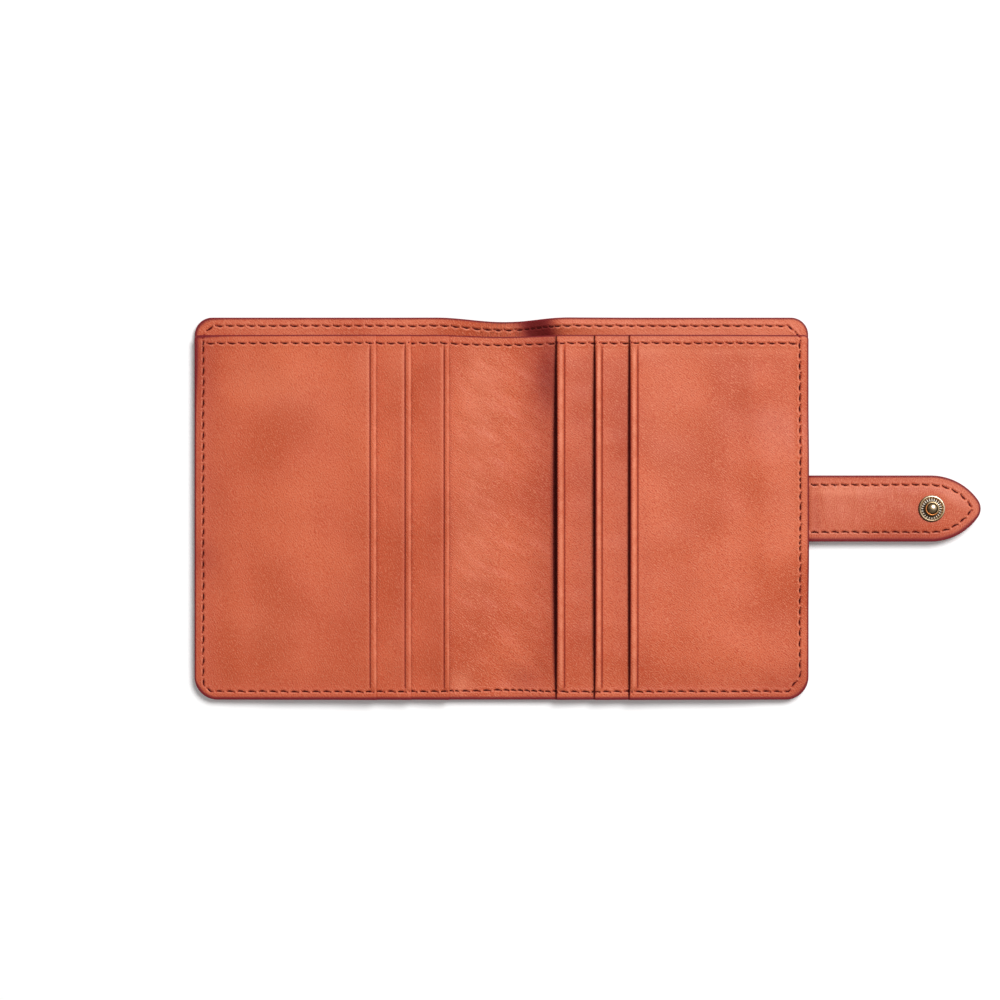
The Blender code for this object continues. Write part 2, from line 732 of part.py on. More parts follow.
def make_socket(carrier):
    """The socket pressed into the front's outer leather, open downwards for the stud."""
    plate_top = SOCKET_PLATE_LEVEL + SOCKET_PLATE
    wall = SOCKET_RADIUS - KNOB_HOLE
    groove = SOCKET_RADIUS - wall * GROOVE_SHARE
    lip_top = -SOCKET_PROUD + SOCKET_LIP
    profile = [
        (EYELET_HOLE, SOCKET_PLATE_LEVEL),
        (groove, SOCKET_PLATE_LEVEL),
        (groove, lip_top),
        (KNOB_HOLE, lip_top),
        (KNOB_HOLE, -SOCKET_PROUD),
        (SOCKET_RADIUS - SOCKET_LIP, -SOCKET_PROUD),
        (SOCKET_RADIUS, lip_top),
        (SOCKET_RADIUS, plate_top),
        (EYELET_HOLE, plate_top),
    ]
    shape = turn_profile(profile, ROUND_STEPS, True)
    stand(shape, -SOCKET_PLACE, 0.0)
    link_mesh("snap_socket", shape, carrier, GILT, smooth=True)


def make_spring(carrier):
    """The open wire ring inside the socket that grips the stud."""
    wall = SOCKET_RADIUS - KNOB_HOLE
    groove = SOCKET_RADIUS - wall * GROOVE_SHARE
    radius = (KNOB_HOLE + groove) / 2
    height = (SOCKET_PLATE_LEVEL - SOCKET_PROUD + SOCKET_LIP) / 2
    wire = min(SPRING_WIRE, (groove - KNOB_HOLE) / 2 - SNAP_GAP / 2)
    curve = bpy.data.curves.new("socket_spring", "CURVE")
    curve.dimensions = "3D"
    curve.bevel_depth = wire
    curve.bevel_resolution = 1
    curve.use_fill_caps = True
    spline = curve.splines.new("POLY")
    spline.points.add(SPRING_STEPS)
    place = world_place(carrier)
    for step, point in enumerate(spline.points):
        share = step / SPRING_STEPS
        angle = math.radians(SPRING_OPENING / 2 + (360 - SPRING_OPENING) * share)
        across = -SOCKET_PLACE + radius * math.cos(angle) - place.x
        point.co = (across, radius * math.sin(angle) - place.y, height - place.z, 1.0)
    ring = bpy.data.objects.new("socket_spring", curve)
    bpy.context.collection.objects.link(ring)
    ring.parent = carrier
    curve.materials.append(surface("socket_spring", STEEL))


def make_eyelet(carrier):
    """The eyelet that holds the socket, with its flange on the inside of the leather."""
    flange_bottom = SHELL_LEATHER + PLY_GAP
    flange_top = flange_bottom + LINING_CLOTH
    profile = [
        (EYELET_BORE, SOCKET_PLATE_LEVEL),
        (EYELET_RADIUS, SOCKET_PLATE_LEVEL),
        (EYELET_RADIUS, flange_bottom),
        (EYELET_FLANGE_RADIUS, flange_bottom),
        (EYELET_FLANGE_RADIUS, flange_top),
        (EYELET_BORE, flange_top),
    ]
    shape = turn_profile(profile, ROUND_STEPS, True)
    stand(shape, -SOCKET_PLACE, 0.0)
    link_mesh("socket_eyelet", shape, carrier, GILT, smooth=True)


def make_socket_holes(shell, lining):
    """The seat and the hole for the socket in the front's leather and lining."""
    place = (-SOCKET_PLACE, 0.0)
    seat = SOCKET_RADIUS + PLY_GAP
    bore(shell, place, seat, -SHELL_LEATHER, SOCKET_SEAT_DEPTH)
    bore(shell, place, EYELET_HOLE, -SHELL_LEATHER, SHELL_LEATHER + PLY_GAP)
    opening = EYELET_FLANGE_RADIUS + PLY_GAP
    bore(lining, place, opening, SHELL_LEATHER, SHELL_LEATHER + 2 * PLY_GAP + LINING_CLOTH)


def main():
    """Build the wallet, one sub-assembly after another."""
    clear_scene()
    back = axis_empty("back_half_origin", (0.0, 0.0, 0.0))
    back_fold = axis_empty("back_fold_axis", (SPINE_WIDTH / 2, 0.0, FOLD_HEIGHT), back)
    front_fold = axis_empty("front_fold_axis", (-SPINE_WIDTH / 2, 0.0, FOLD_HEIGHT), back_fold)
    edge_bend = axis_empty("strap_edge_axis", (EDGE_BEND, 0.0, STRAP_FACE), back)
    top_bend = axis_empty("strap_top_axis", (TOP_BEND, 0.0, STRAP_FACE), edge_bend)

    make_half("back", BACK_REACH, BACK_LINES, back, 1)
    make_spine(back_fold)
    front_shell, front_lining = make_half("front", FRONT_REACH, FRONT_LINES, front_fold, -1)
    make_socket_holes(front_shell, front_lining)
    make_socket(front_fold)
    make_spring(front_fold)
    make_eyelet(front_fold)
    make_tongue(back)
    make_wrap(edge_bend)
    make_tab(top_bend)
    make_cap(top_bend)
    make_stud(top_bend)


main()
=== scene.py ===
"""Folding card wallet with a strap and a press snap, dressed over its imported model.

The wallet lies open on its outer side: +X runs from the fold to the strap, +Y to the open
edge of the note compartment and +Z up, out of the card pockets. Sizes here are in
millimetres, and they become metres when a mesh is made.
"""

import logging
import math
from dataclasses import dataclass, field
from enum import Enum
from functools import lru_cache
from typing import Any, Callable, Optional, Sequence, Union

import bmesh
import bpy
import numpy as np
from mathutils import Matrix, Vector
from mathutils.geometry import delaunay_2d_cdt
from mathutils.kdtree import KDTree


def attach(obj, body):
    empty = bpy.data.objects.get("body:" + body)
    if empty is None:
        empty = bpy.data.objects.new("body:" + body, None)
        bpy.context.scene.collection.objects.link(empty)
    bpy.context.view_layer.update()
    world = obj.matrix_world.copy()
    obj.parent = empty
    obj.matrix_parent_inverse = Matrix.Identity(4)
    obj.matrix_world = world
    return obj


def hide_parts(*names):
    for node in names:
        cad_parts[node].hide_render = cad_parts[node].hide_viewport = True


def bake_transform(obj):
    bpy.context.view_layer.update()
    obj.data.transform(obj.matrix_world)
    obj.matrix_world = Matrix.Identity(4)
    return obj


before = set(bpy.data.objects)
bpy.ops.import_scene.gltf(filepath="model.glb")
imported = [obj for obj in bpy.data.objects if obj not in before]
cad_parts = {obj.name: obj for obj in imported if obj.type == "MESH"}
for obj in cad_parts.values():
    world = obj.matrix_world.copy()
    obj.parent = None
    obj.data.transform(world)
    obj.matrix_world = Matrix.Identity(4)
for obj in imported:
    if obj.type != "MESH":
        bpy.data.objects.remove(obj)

MM = 0.001
SOCKET_X = -62.75
STUD_X = 113.8

Array = np.ndarray
Item = bpy.types.Object
Material = bpy.types.Material
Socket = bpy.types.NodeSocket
Field = Callable[[Array, Array], Array]
Turning = Callable[[float, float, Array], Array]
Number = Union[float, "Flow"]
Triple = tuple[float, float, float]
Quad = tuple[float, float, float, float]
Colour = Triple
Pair = tuple[float, float]
Profile = Sequence[Pair]
Looks = dict[str, Material]

log = logging.getLogger("wallet")


# Small curves that the shapes are made of

def ease(share: Array) -> Array:
    """A smooth step from 0 to 1 as the share goes from 0 to 1."""
    held = np.clip(share, 0.0, 1.0)
    return held * held * (3.0 - 2.0 * held)


def within(value: Array, low: float, high: float, soft: float) -> Array:
    """1 between two limits and 0 beyond them, with soft ends inside them."""
    return ease((high - value) / soft) * ease((value - low) / soft)


def bell(distance: Array, width: float) -> Array:
    """A bump of height 1 that dies away over the width."""
    return np.exp(-((distance / width) ** 2))


def nothing(x: Array, y: Array) -> Array:
    """0 at every point."""
    return np.zeros(np.broadcast(x, y).shape)


def circles(x: float, radii: Sequence[float], count: int) -> Array:
    """Points on circles round a place on the X axis."""
    turns = np.linspace(0, 2 * math.pi, count, endpoint=False)
    return np.concatenate([
        np.stack([x + radius * np.cos(turns), radius * np.sin(turns)], 1) for radius in radii
    ])


def arc(centre: Pair, radius: float, turns: Array) -> list[Pair]:
    """Points on an arc, at some angles."""
    x, y = centre
    return [(x + radius * math.cos(turn), y + radius * math.sin(turn)) for turn in turns]


def bead(centre: Pair, radius: float, start: float, end: float, count: int) -> list[Pair]:
    """Points on an arc of a turned profile, from one angle to another in degrees."""
    return arc(centre, radius, np.radians(np.linspace(start, end, count)))


@dataclass(frozen=True)
class Ripples:
    """Soft unevenness, as a few waves that cross at seeded headings.

    A spread of 180 crosses them every way; a small one lines them up along the heading.
    """

    length: float
    depth: float
    seed: int
    heading: float = 0.0
    spread: float = 180.0
    count: int = 9

    def __call__(self, x: Array, y: Array) -> Array:
        """Height of the ripples at the points."""
        draw = np.random.default_rng(self.seed)
        total = nothing(x, y)
        for _wave in range(self.count):
            turn = math.radians(self.heading + draw.uniform(-0.5, 0.5) * self.spread)
            number = 2 * math.pi / (self.length * draw.uniform(0.6, 1.7))
            phase = draw.uniform(0, 2 * math.pi)
            total += np.sin((x * math.cos(turn) + y * math.sin(turn)) * number + phase)
        return total * self.depth / math.sqrt(self.count)


@dataclass(frozen=True)
class PaintedLightPatch:
    """A soft patch of painted sheen on a leather, or of painted shade where the amount is negative."""

    x: float
    y: float
    wide: float
    tall: float
    amount: float
    turn: float = 0.0

    def __call__(self, x: Array, y: Array) -> Array:
        """How strong the patch is at the points."""
        cos, sin = math.cos(math.radians(self.turn)), math.sin(math.radians(self.turn))
        across = ((x - self.x) * cos + (y - self.y) * sin) / self.wide
        along = ((y - self.y) * cos - (x - self.x) * sin) / self.tall
        return self.amount * np.exp(-across ** 2 - along ** 2)


# For each leather, the place, the two reaches, the amount and the turn of its patches of painted sheen
# and painted shade
PAINTED_LIGHT_PATCHES = {
    "centre": (
        (-5.5, 33.0, 6.0, 15.0, 0.22), (-8.0, 8.0, 7.0, 18.0, 0.14),
        (-8.5, -15.0, 6.0, 12.0, 0.18), (-11.0, -46.4, 3.0, 3.4, 0.40),
        (12.0, 36.0, 6.0, 14.0, -0.32), (14.2, 0.0, 8.0, 60.0, -0.20),
        (5.5, -45.5, 5.0, 4.0, -0.20),
    ),
    "back_lower": ((21.5, 0.0, 6.0, 60.0, -0.14), (18.5, 42.0, 4.0, 2.0, 0.2)),
    "back_middle": ((31.5, 0.0, 6.0, 60.0, -0.13), (28.5, 42.0, 4.0, 2.0, 0.24)),
    "back_upper": (
        (43.0, 22.0, 12.0, 26.0, 0.10), (38.0, 42.4, 7.0, 1.9, 0.28),
        (62.0, 42.0, 22.0, 1.6, 0.20), (67.4, 24.0, 9.0, 7.0, -0.10),
        (76.5, 0.0, 5.0, 8.0, 0.14), (60.0, -48.0, 26.0, 6.0, -0.12),
        (37.0, -10.0, 2.5, 36.0, -0.10), (78.0, -45.0, 8.0, 8.0, -0.12),
    ),
    "front_lower": ((-17.5, -4.0, 3.2, 60.0, -0.06), (-20.5, 36.0, 3.0, 8.0, -0.06)),
    "front_middle": ((-26.5, -20.0, 3.0, 40.0, -0.07), (-28.0, 38.0, 3.0, 6.0, 0.14)),
    "front_upper": (
        (-83.0, 0.0, 8.0, 70.0, -0.22), (-82.0, 40.0, 6.0, 12.0, -0.16),
        (-62.0, 32.0, 16.0, 6.0, 0.14, -24.0), (-37.0, 38.0, 2.4, 7.0, 0.14),
        (-64.0, -31.0, 12.0, 8.0, 0.08), (-42.0, -25.0, 6.0, 10.0, -0.06),
        (-82.0, -13.0, 7.0, 5.0, -0.12), (-58.0, -49.0, 26.0, 4.0, -0.08),
    ),
    "facing": ((54.0, 48.0, 24.0, 6.0, 0.26), (-72.0, 48.0, 18.0, 6.0, -0.04)),
    "strap": (
        (90.0, 4.8, 10.0, 1.5, 0.42), (88.0, 1.4, 6.0, 4.0, 0.12),
        (119.5, 3.2, 3.0, 2.0, 0.22), (83.2, 0.0, 1.6, 9.0, -0.16),
        (107.5, -3.0, 6.0, 4.0, -0.12), (108.0, -7.4, 18.0, 1.6, -0.20),
    ),
}


def painted_light(place: str) -> tuple[Field, Field]:
    """How strong the painted sheen and the painted shade on a leather are, at points in plan."""
    def total(x: Array, y: Array) -> Array:
        return sum(PaintedLightPatch(*numbers)(x, y) for numbers in PAINTED_LIGHT_PATCHES[place])

    return lambda x, y: np.maximum(total(x, y), 0.0), lambda x, y: np.maximum(-total(x, y), 0.0)


def strongest(*fields: Field) -> Field:
    """The largest of several fields at each point."""
    return lambda x, y: np.maximum.reduce([one(x, y) + 0.0 * y for one in fields])


def left_of(ways: Array) -> Array:
    """Each way turned to its left."""
    return np.stack([-ways[:, 1], ways[:, 0]], 1)


# The plan of the wallet

class Half(Enum):
    """The two halves of the wallet: the strap's half is the back, the other the front."""

    BACK = 1
    FRONT = -1

    @property
    def word(self) -> str:
        """The half's name in the names of its pieces."""
        return "back" if self is Half.BACK else "front"

    @property
    def body(self) -> str:
        """The body that the half's pieces ride on."""
        return self.word + "_half"


@dataclass(frozen=True)
class Plan:
    """Sizes of the wallet in plan that several sub-assemblies share."""

    half_height: float = 50.8
    back_reach: float = 81.2
    front_reach: float = 82.0
    interior_top: float = 46.1
    shell_corner: float = 4.6
    bottom_corner: float = 6.1
    interior_corner: float = 1.2
    shell_dip: float = 1.2
    interior_dip: float = 0.5
    dip_reach: float = 18.0
    facing_bottom: float = 43.8
    seam_inset: float = 2.15
    interior_seam: float = 43.93
    fold_start: float = 5.6
    fold_height: float = 3.7
    mouths: Triple = (14.2, 24.3, 33.5)
    tuck: float = 8.0
    strap_half: float = 8.8

    def reach(self, half: Half) -> float:
        """How far a half reaches from the fold."""
        return self.back_reach if half is Half.BACK else self.front_reach

    def dip(self, x: Array, depth: float) -> Array:
        """How much lower a top edge is, over the spine."""
        near = np.abs(x) < self.dip_reach
        return np.where(near, depth * (1 + np.cos(np.pi * x / self.dip_reach)) / 2, 0.0)


# Outlines

# Where a sheet gets rings of points along its rounded edge, as shares of the rounding
ROUND_SHARES = (0.076, 0.293, 0.617, 1.0)

# Distance between points on a straight edge
EDGE_STEP = 0.7

# How far from a corner the first points of a straight edge lie
EDGE_INSETS = (0.025, 0.09, 0.19, 0.32, 0.55, 0.85)


class Edge(Enum):
    """How an edge of a sheet is finished. A joined edge meets the sheet's other half."""

    JOINED = 0
    RAW = 1
    PAINTED = 2


@dataclass
class Outline:
    """A closed outline, counterclockwise, with the finish of the edge after each point."""

    points: Array
    kinds: Array

    @staticmethod
    def rounded(corners: Sequence[tuple[float, float, float, Edge]]) -> "Outline":
        """Trace corners with their radii.

        Args:
            corners: x, y, radius and the finish of the edge that leaves the corner.
        Returns:
            The outline.
        """
        places = np.array([corner[:2] for corner in corners], float)
        points, kinds = [], []
        count = len(corners)
        for index, (_x, _y, radius, kind) in enumerate(corners):
            here = places[index]
            back = places[index - 1] - here
            ahead = places[(index + 1) % count] - here
            back /= np.linalg.norm(back)
            length = np.linalg.norm(ahead)
            ahead /= length
            if radius > 0:
                middle = here + (back + ahead) * radius
                steps = max(6, math.ceil(radius * math.pi / 2 / 0.4))
                for turn in np.linspace(0, math.pi / 2, steps + 1)[:-1]:
                    points.append(
                        middle - ahead * radius * math.cos(turn) - back * radius * math.sin(turn)
                    )
                    kinds.append(kind)
            run = length - radius - corners[(index + 1) % count][2]
            start = here + ahead * radius
            shares = np.linspace(0, 1, max(2, math.ceil(run / EDGE_STEP)) + 1)
            ends = np.array(EDGE_INSETS) / run
            shares = np.unique(np.concatenate([shares, ends, 1 - ends]).round(6))
            for share in shares[:-1]:
                points.append(start + ahead * run * share)
                kinds.append(kind)
        return Outline(np.array(points), np.array([kind.value for kind in kinds]))

    def mirrored(self) -> "Outline":
        """The same outline on the other half."""
        points = self.points[::-1] * np.array([-1.0, 1.0])
        return Outline(points, np.roll(self.kinds[::-1], -1))

    def lowered(self, amount: Field, top: float) -> "Outline":
        """The outline with its top edge brought down by an amount."""
        x, y = self.points.T
        near = ease((y - (top - 6.0)) / 6.0)
        return Outline(np.stack([x, y - amount(x, y) * near], 1), self.kinds)

    def distance(self, points: Array, joined: bool, painted: bool = False) -> Array:
        """Distance of each point from the outline, negative outside.

        Args:
            points: points in plan.
            joined: whether joined edges count.
            painted: whether only painted edges count.
        Returns:
            The distances.
        """
        least = np.full(len(points), 1e9)
        inside = np.zeros(len(points), bool)
        x, y = points.T
        after = np.roll(self.points, -1, axis=0)
        for (ax, ay), (bx, by), kind in zip(self.points, after, self.kinds):
            crosses = (ay > y) != (by > y)
            if by != ay:
                inside ^= crosses & (x < ax + (y - ay) * (bx - ax) / (by - ay))
            if kind == Edge.JOINED.value and not joined:
                continue
            if painted and kind != Edge.PAINTED.value:
                continue
            dx, dy = bx - ax, by - ay
            share = ((x - ax) * dx + (y - ay) * dy) / max(dx * dx + dy * dy, 1e-12)
            share = np.clip(share, 0, 1)
            gap = (x - ax - share * dx) ** 2 + (y - ay - share * dy) ** 2
            least = np.minimum(least, gap)
        return np.where(inside, 1.0, -1.0) * np.sqrt(least)

    def rings(self, insets: Sequence[float]) -> Array:
        """Points that follow the finished edges at some distances inside them."""
        ahead = np.roll(self.points, -1, axis=0) - self.points
        length = np.linalg.norm(ahead, axis=1, keepdims=True)
        normal = left_of(ahead) / np.maximum(length, 1e-9)
        before = np.roll(normal, 1, axis=0)
        mitre = (normal + before) / (1 + (normal * before).sum(1, keepdims=True))
        free = (self.kinds != Edge.JOINED.value) & (np.roll(self.kinds, 1) != Edge.JOINED.value)
        return np.concatenate([(self.points + mitre * inset)[free] for inset in insets])


# Seams

# Length, slant and sag of a stitch, in the leather and in the thread alike
DASH = 2.0
SLANT = 0.09
SAG = 0.15


@dataclass
class Seam:
    """One row of stitches along a path in plan.

    The thread of each stitch runs from one needle hole to the next, and the leather
    between two stitches stands up a little.
    """

    path: Array
    pitch: float = 2.85
    dash: float = DASH
    valley: float = 0.26
    pit: float = 0.22
    bulge: float = 0.10
    crowded: Sequence[Quad] = ()
    lengths: Array = field(init=False)
    counter: Array = field(init=False)
    count: int = field(init=False)

    def __post_init__(self) -> None:
        """Measure the path and share the stitches out along it."""
        self.path = densify(self.path, 0.5)
        wander = Ripples(5.0, 0.05, 8)
        self.path = self.path + np.stack([wander(*self.path.T), wander(*self.path.T[::-1])], 1)
        steps = np.linalg.norm(np.diff(self.path, axis=0), axis=1)
        self.lengths = np.concatenate([[0.0], np.cumsum(steps)])
        density = np.full(len(steps), 1 / self.pitch)
        middle = (self.path[1:] + self.path[:-1]) / 2
        for x, y, reach, factor in self.crowded:
            near = np.hypot(middle[:, 0] - x, middle[:, 1] - y) < reach
            density = np.where(near, factor / self.pitch, density)
        passed = np.concatenate([[0.0], np.cumsum(steps * density)])
        self.count = max(1, round(passed[-1]))
        self.counter = passed * self.count / passed[-1]

    def at(self, along: Array) -> Array:
        """Points of the path at some distances along it."""
        return np.stack([np.interp(along, self.lengths, self.path[:, k]) for k in (0, 1)], 1)

    def stations(self) -> tuple[Array, Array]:
        """Middle of each stitch, and the way that the row runs there."""
        middles = np.interp(np.arange(self.count) + 0.5, self.counter, self.lengths)
        ways = self.at(middles + 0.4) - self.at(middles - 0.4)
        return self.at(middles), ways / np.linalg.norm(ways, axis=1, keepdims=True)

    def holes(self) -> Array:
        """Needle holes at the ends of the stitches."""
        places, ways = self.stations()
        reach = ways * self.dash / 2 - left_of(ways) * SLANT
        return np.concatenate([places + reach, places - reach])

    def measure(self, x: Array, y: Array) -> tuple[Array, ...]:
        """Place the points along and across the row.

        Returns:
            Distance across the row, distance from the middle of the nearest stitch,
            distance from the nearest middle between two stitches, and distance from the
            row towards the top right.
        """
        least, across = np.full(np.shape(x), 1e9), np.full(np.shape(x), 1e3)
        upward, along = nothing(x, y), nothing(x, y)
        for index, ((ax, ay), (bx, by)) in enumerate(zip(self.path, self.path[1:])):
            dx, dy = bx - ax, by - ay
            size = max(math.hypot(dx, dy), 1e-9)
            share = np.clip(((x - ax) * dx + (y - ay) * dy) / size ** 2, 0, 1)
            gap_x, gap_y = x - ax - share * dx, y - ay - share * dy
            gap = np.hypot(gap_x, gap_y)
            nearer = gap < least
            least = np.where(nearer, gap, least)
            across = np.where(nearer, gap * np.sign(dx * gap_y - dy * gap_x), across)
            upward = np.where(nearer, 0.77 * gap_x + 0.64 * gap_y, upward)
            along = np.where(nearer, self.lengths[index] + share * size, along)
        phase = np.interp(along, self.lengths, self.counter)
        local = self.lengths[-1] / self.count
        from_stitch = (phase - np.floor(phase) - 0.5) * local
        return across, from_stitch, local / 2 - np.abs(from_stitch), upward

    def dress(self, x: Array, y: Array) -> tuple[Array, Array, Array]:
        """Work out what the row does to the leather at the points.

        The line of a stitch slants and sags inwards, in a furrow with lips, between two
        needle holes. Painted shade darkens the furrow and the holes, and painted highlights
        pale the lip towards the lamp and the leather between stitches.

        Returns:
            The height that the row adds, its painted shade and its painted highlight, from 0 to 1.
        """
        across, from_stitch, from_gap, upward = self.measure(x, y)
        share = from_stitch / self.dash
        reach = np.clip(from_stitch * 2 / self.dash, -1, 1)
        lean = across + reach * SLANT + SAG * (1 - reach ** 2)
        side = across + np.sign(from_stitch) * SLANT
        hole = bell(np.hypot(np.abs(from_stitch) - self.dash / 2, side), 0.17)
        swell = bell(from_gap, 0.5) * bell(across, 0.6)
        under = 0.2 + 0.8 * ease((self.dash * 0.66 - np.abs(from_stitch)) / 0.7)
        furrow = self.valley * bell(lean, 0.30) * under
        lips = 0.4 * self.valley * bell(np.abs(lean) - 0.48, 0.2) * under
        relief = self.bulge * swell + lips - furrow - self.pit * hole
        # Painted shade in the furrow and the needle holes
        width = 0.09 + 0.18 * bell(share - 0.07, 0.20)
        depth = ease((share + 0.66) / 0.3) * ease((0.64 - share) / 0.34)
        dark = np.clip(0.6 * hole * (share < 0) + bell(lean, width) * depth, 0, 1)
        # Painted highlights on the lip that faces the lamp and on the leather between stitches
        lip = bell(np.abs(lean) - 0.38, 0.14) * bell(share - 0.14, 0.34) * ease(-upward / 0.2)
        crest = 0.50 * bell(from_gap, 0.3) * bell(across, 0.35)
        return relief, dark, np.maximum(1.3 * lip, crest)

    def mesh_points(self) -> Array:
        """Points that a sheet needs to show the row."""
        holes = self.holes()
        rings = [holes]
        for radius, number in ((0.14, 6), (0.28, 8)):
            for turn in np.arange(number) * 2 * math.pi / number:
                rings.append(holes + radius * np.array([math.cos(turn), math.sin(turn)]))
        along = np.arange(0.2, self.lengths[-1], 0.42)
        ways = self.at(along + 0.2) - self.at(along - 0.2)
        ways /= np.maximum(np.linalg.norm(ways, axis=1, keepdims=True), 1e-9)
        offsets = (-0.95, -0.66, -0.44, -0.22, 0.0, 0.22, 0.44, 0.66, 0.95)
        rows = np.concatenate([self.at(along) + left_of(ways) * offset for offset in offsets])
        return np.concatenate([*rings, rows[nearest(rows, holes) > 0.36]])


def densify(path: Array, step: float) -> Array:
    """A path with points no further apart than a step."""
    kept = [path[0]]
    for start, end in zip(path, path[1:]):
        count = max(1, math.ceil(np.linalg.norm(end - start) / step))
        for share in np.arange(1, count + 1) / count:
            kept.append(start + (end - start) * share)
    return np.array(kept)


def nearest(points: Array, marks: Array) -> Array:
    """Distance of each point from the nearest mark."""
    tree = KDTree(len(marks))
    for index, mark in enumerate(marks):
        tree.insert((*mark, 0.0), index)
    tree.balance()
    return np.array([tree.find((*point, 0.0))[2] for point in points])


# Sheets of leather and cloth

def mesh_object(
    name: str, points: Array, faces: Sequence[Sequence[int]], material: Material,
    crease: float = 180.0,
) -> Item:
    """Make a smooth-shaded object.

    Args:
        name: the new object's name.
        points: its points, in millimetres.
        faces: its faces.
        material: its material.
        crease: angle in degrees from which an edge stays sharp.
    Returns:
        The object.
    """
    mesh = bpy.data.meshes.new(name)
    mesh.from_pydata((np.asarray(points) * MM).tolist(), [], [list(face) for face in faces])
    mesh.materials.append(material)
    mesh.shade_smooth()
    if crease < 180:
        mesh.set_sharp_from_angle(angle=math.radians(crease))
    mesh.update()
    item = bpy.data.objects.new(name, mesh)
    bpy.context.scene.collection.objects.link(item)
    return item


def give(item: Item, name: str, values: Array) -> None:
    """Write a value for each vertex under a name that the materials read."""
    attribute = item.data.attributes.new(name, "FLOAT", "POINT")
    attribute.data.foreach_set("value", np.asarray(values, np.float32))


@dataclass
class Sheet:
    """A sheet of leather or cloth, cut to an outline and laid at its heights."""

    name: str
    outline: Outline
    under: Field
    top: Field
    material: Material
    rounding: float = 0.3
    spacing: float = 0.8
    under_spacing: float = 2.4
    top_seams: Sequence[Seam] = ()
    under_seams: Sequence[Seam] = ()
    top_points: Optional[Array] = None
    under_points: Optional[Array] = None
    # Painted shade and painted sheen that the sheet's vertices carry, the pleats, and how far the edge
    # paint runs
    stain: Field = nothing
    wear: Field = nothing
    pleat: Field = nothing
    paint_width: Field = lambda x, y: np.full(np.shape(x), 0.72)
    VALUES = ("paint", "stain", "wear", "pleat")

    # Height of a row of triangles, as a share of their side, and half the width of the
    # strip along a seam that has points of its own
    ROW = 0.866
    SEAM_STRIP = 0.95

    def face_points(self, spacing: float, seams: Sequence[Seam], extra: Optional[Array]) -> Array:
        """Points inside the outline for one face of the sheet."""
        insets = [share * self.rounding for share in ROUND_SHARES]
        insets += [self.rounding + 0.22, self.rounding + 0.5]
        low, high = self.outline.points.min(0), self.outline.points.max(0)
        rows = np.arange(low[1], high[1], spacing * self.ROW)
        x, y = np.meshgrid(np.arange(low[0], high[0], spacing), rows)
        x = x + spacing / 2 * (np.arange(len(rows)) % 2)[:, None]
        grid = np.stack([x.ravel(), y.ravel()], 1)
        grid = grid[self.outline.distance(grid, False) > self.rounding + 0.5 + 0.5 * spacing]
        grid = grid[self.outline.distance(grid, True) > 0.5 * spacing]
        added = []
        for seam in seams:
            added.append(seam.mesh_points())
            gap = np.abs(seam.measure(*grid.T)[0])
            grid = grid[gap > self.SEAM_STRIP + 0.45 * spacing]
        if extra is not None:
            grid = grid[nearest(grid, extra) > 0.6 * spacing]
            added.append(extra)
        if added:
            added = np.concatenate(added)
            added = added[self.outline.distance(added, True) > 0.12]
            added = added[self.outline.distance(added, False) > self.rounding + 0.1]
            grid = np.concatenate([grid, added])
        rings = self.outline.rings(insets)
        rings = rings[self.outline.distance(rings, True) > 0.02]
        inner = np.concatenate([rings, grid])
        return inner[np.unique(inner.round(2), axis=0, return_index=True)[1]]

    def build(self) -> Item:
        """Make the sheet as one closed mesh with its vertex values."""
        border = self.outline.points
        faces, blocks, starts = [], [], []
        values = {name: [] for name in self.VALUES}
        sides = (
            (self.top, self.spacing, self.top_seams, self.top_points, -1.0),
            (self.under, self.under_spacing, self.under_seams, self.under_points, 1.0),
        )
        for height, spacing, seams, extra, way in sides:
            plan = np.concatenate([border, self.face_points(spacing, seams, extra)])
            x, y = plan.T
            gap = np.abs(self.outline.distance(plan, False))
            inward = np.clip(self.rounding - gap, 0, self.rounding)
            drop = self.rounding - np.sqrt(np.maximum(self.rounding ** 2 - inward ** 2, 0))
            z = height(x, y) + way * drop
            # Painted shade and painted sheen of the sheet, added to by its seams
            stain, wear = self.stain(x, y), self.wear(x, y)
            for seam in seams:
                relief, dark, painted_highlight = seam.dress(x, y)
                z = z - way * relief
                stain, wear = np.maximum(stain, dark), np.maximum(wear, painted_highlight)
            painted = np.abs(self.outline.distance(plan, False, painted=True))
            paint = ease(1.2 - painted / self.paint_width(x, y))
            for name, value in zip(self.VALUES, (paint, stain, wear, self.pleat(x, y))):
                values[name].append(value)
            start = sum(len(block) for block in blocks)
            for corner in triangles(plan, len(border)):
                faces.append([start + index for index in (corner if way < 0 else corner[::-1])])
            blocks.append(np.stack([x, y, z], 1))
            starts.append(start)
        upper, lower = starts
        for index in range(len(border)):
            after = (index + 1) % len(border)
            faces.append([upper + index, lower + index, lower + after, upper + after])
        item = mesh_object(self.name, np.concatenate(blocks), faces, self.material)
        self._keep_joint_crisp(item, upper, lower)
        for name, parts in values.items():
            joined = np.concatenate(parts)
            if joined.any():
                give(item, name, joined)
        return item

    def _keep_joint_crisp(self, item: Item, upper: int, lower: int) -> None:
        """Keep the wall at a joined edge from darkening the faces beside it."""
        border = len(self.outline.points)
        sharp = np.zeros(len(item.data.edges), bool)
        joined = self.outline.kinds == Edge.JOINED.value
        for number, edge in enumerate(item.data.edges):
            first, last = sorted(edge.vertices)
            for start in (upper, lower):
                a, b = first - start, last - start
                if 0 <= a and b < border and (b == a + 1 or (a == 0 and b == border - 1)):
                    sharp[number] = joined[a if b == a + 1 else b]
        mark = item.data.attributes.new("sharp_edge", "BOOLEAN", "EDGE")
        mark.data.foreach_set("value", sharp)


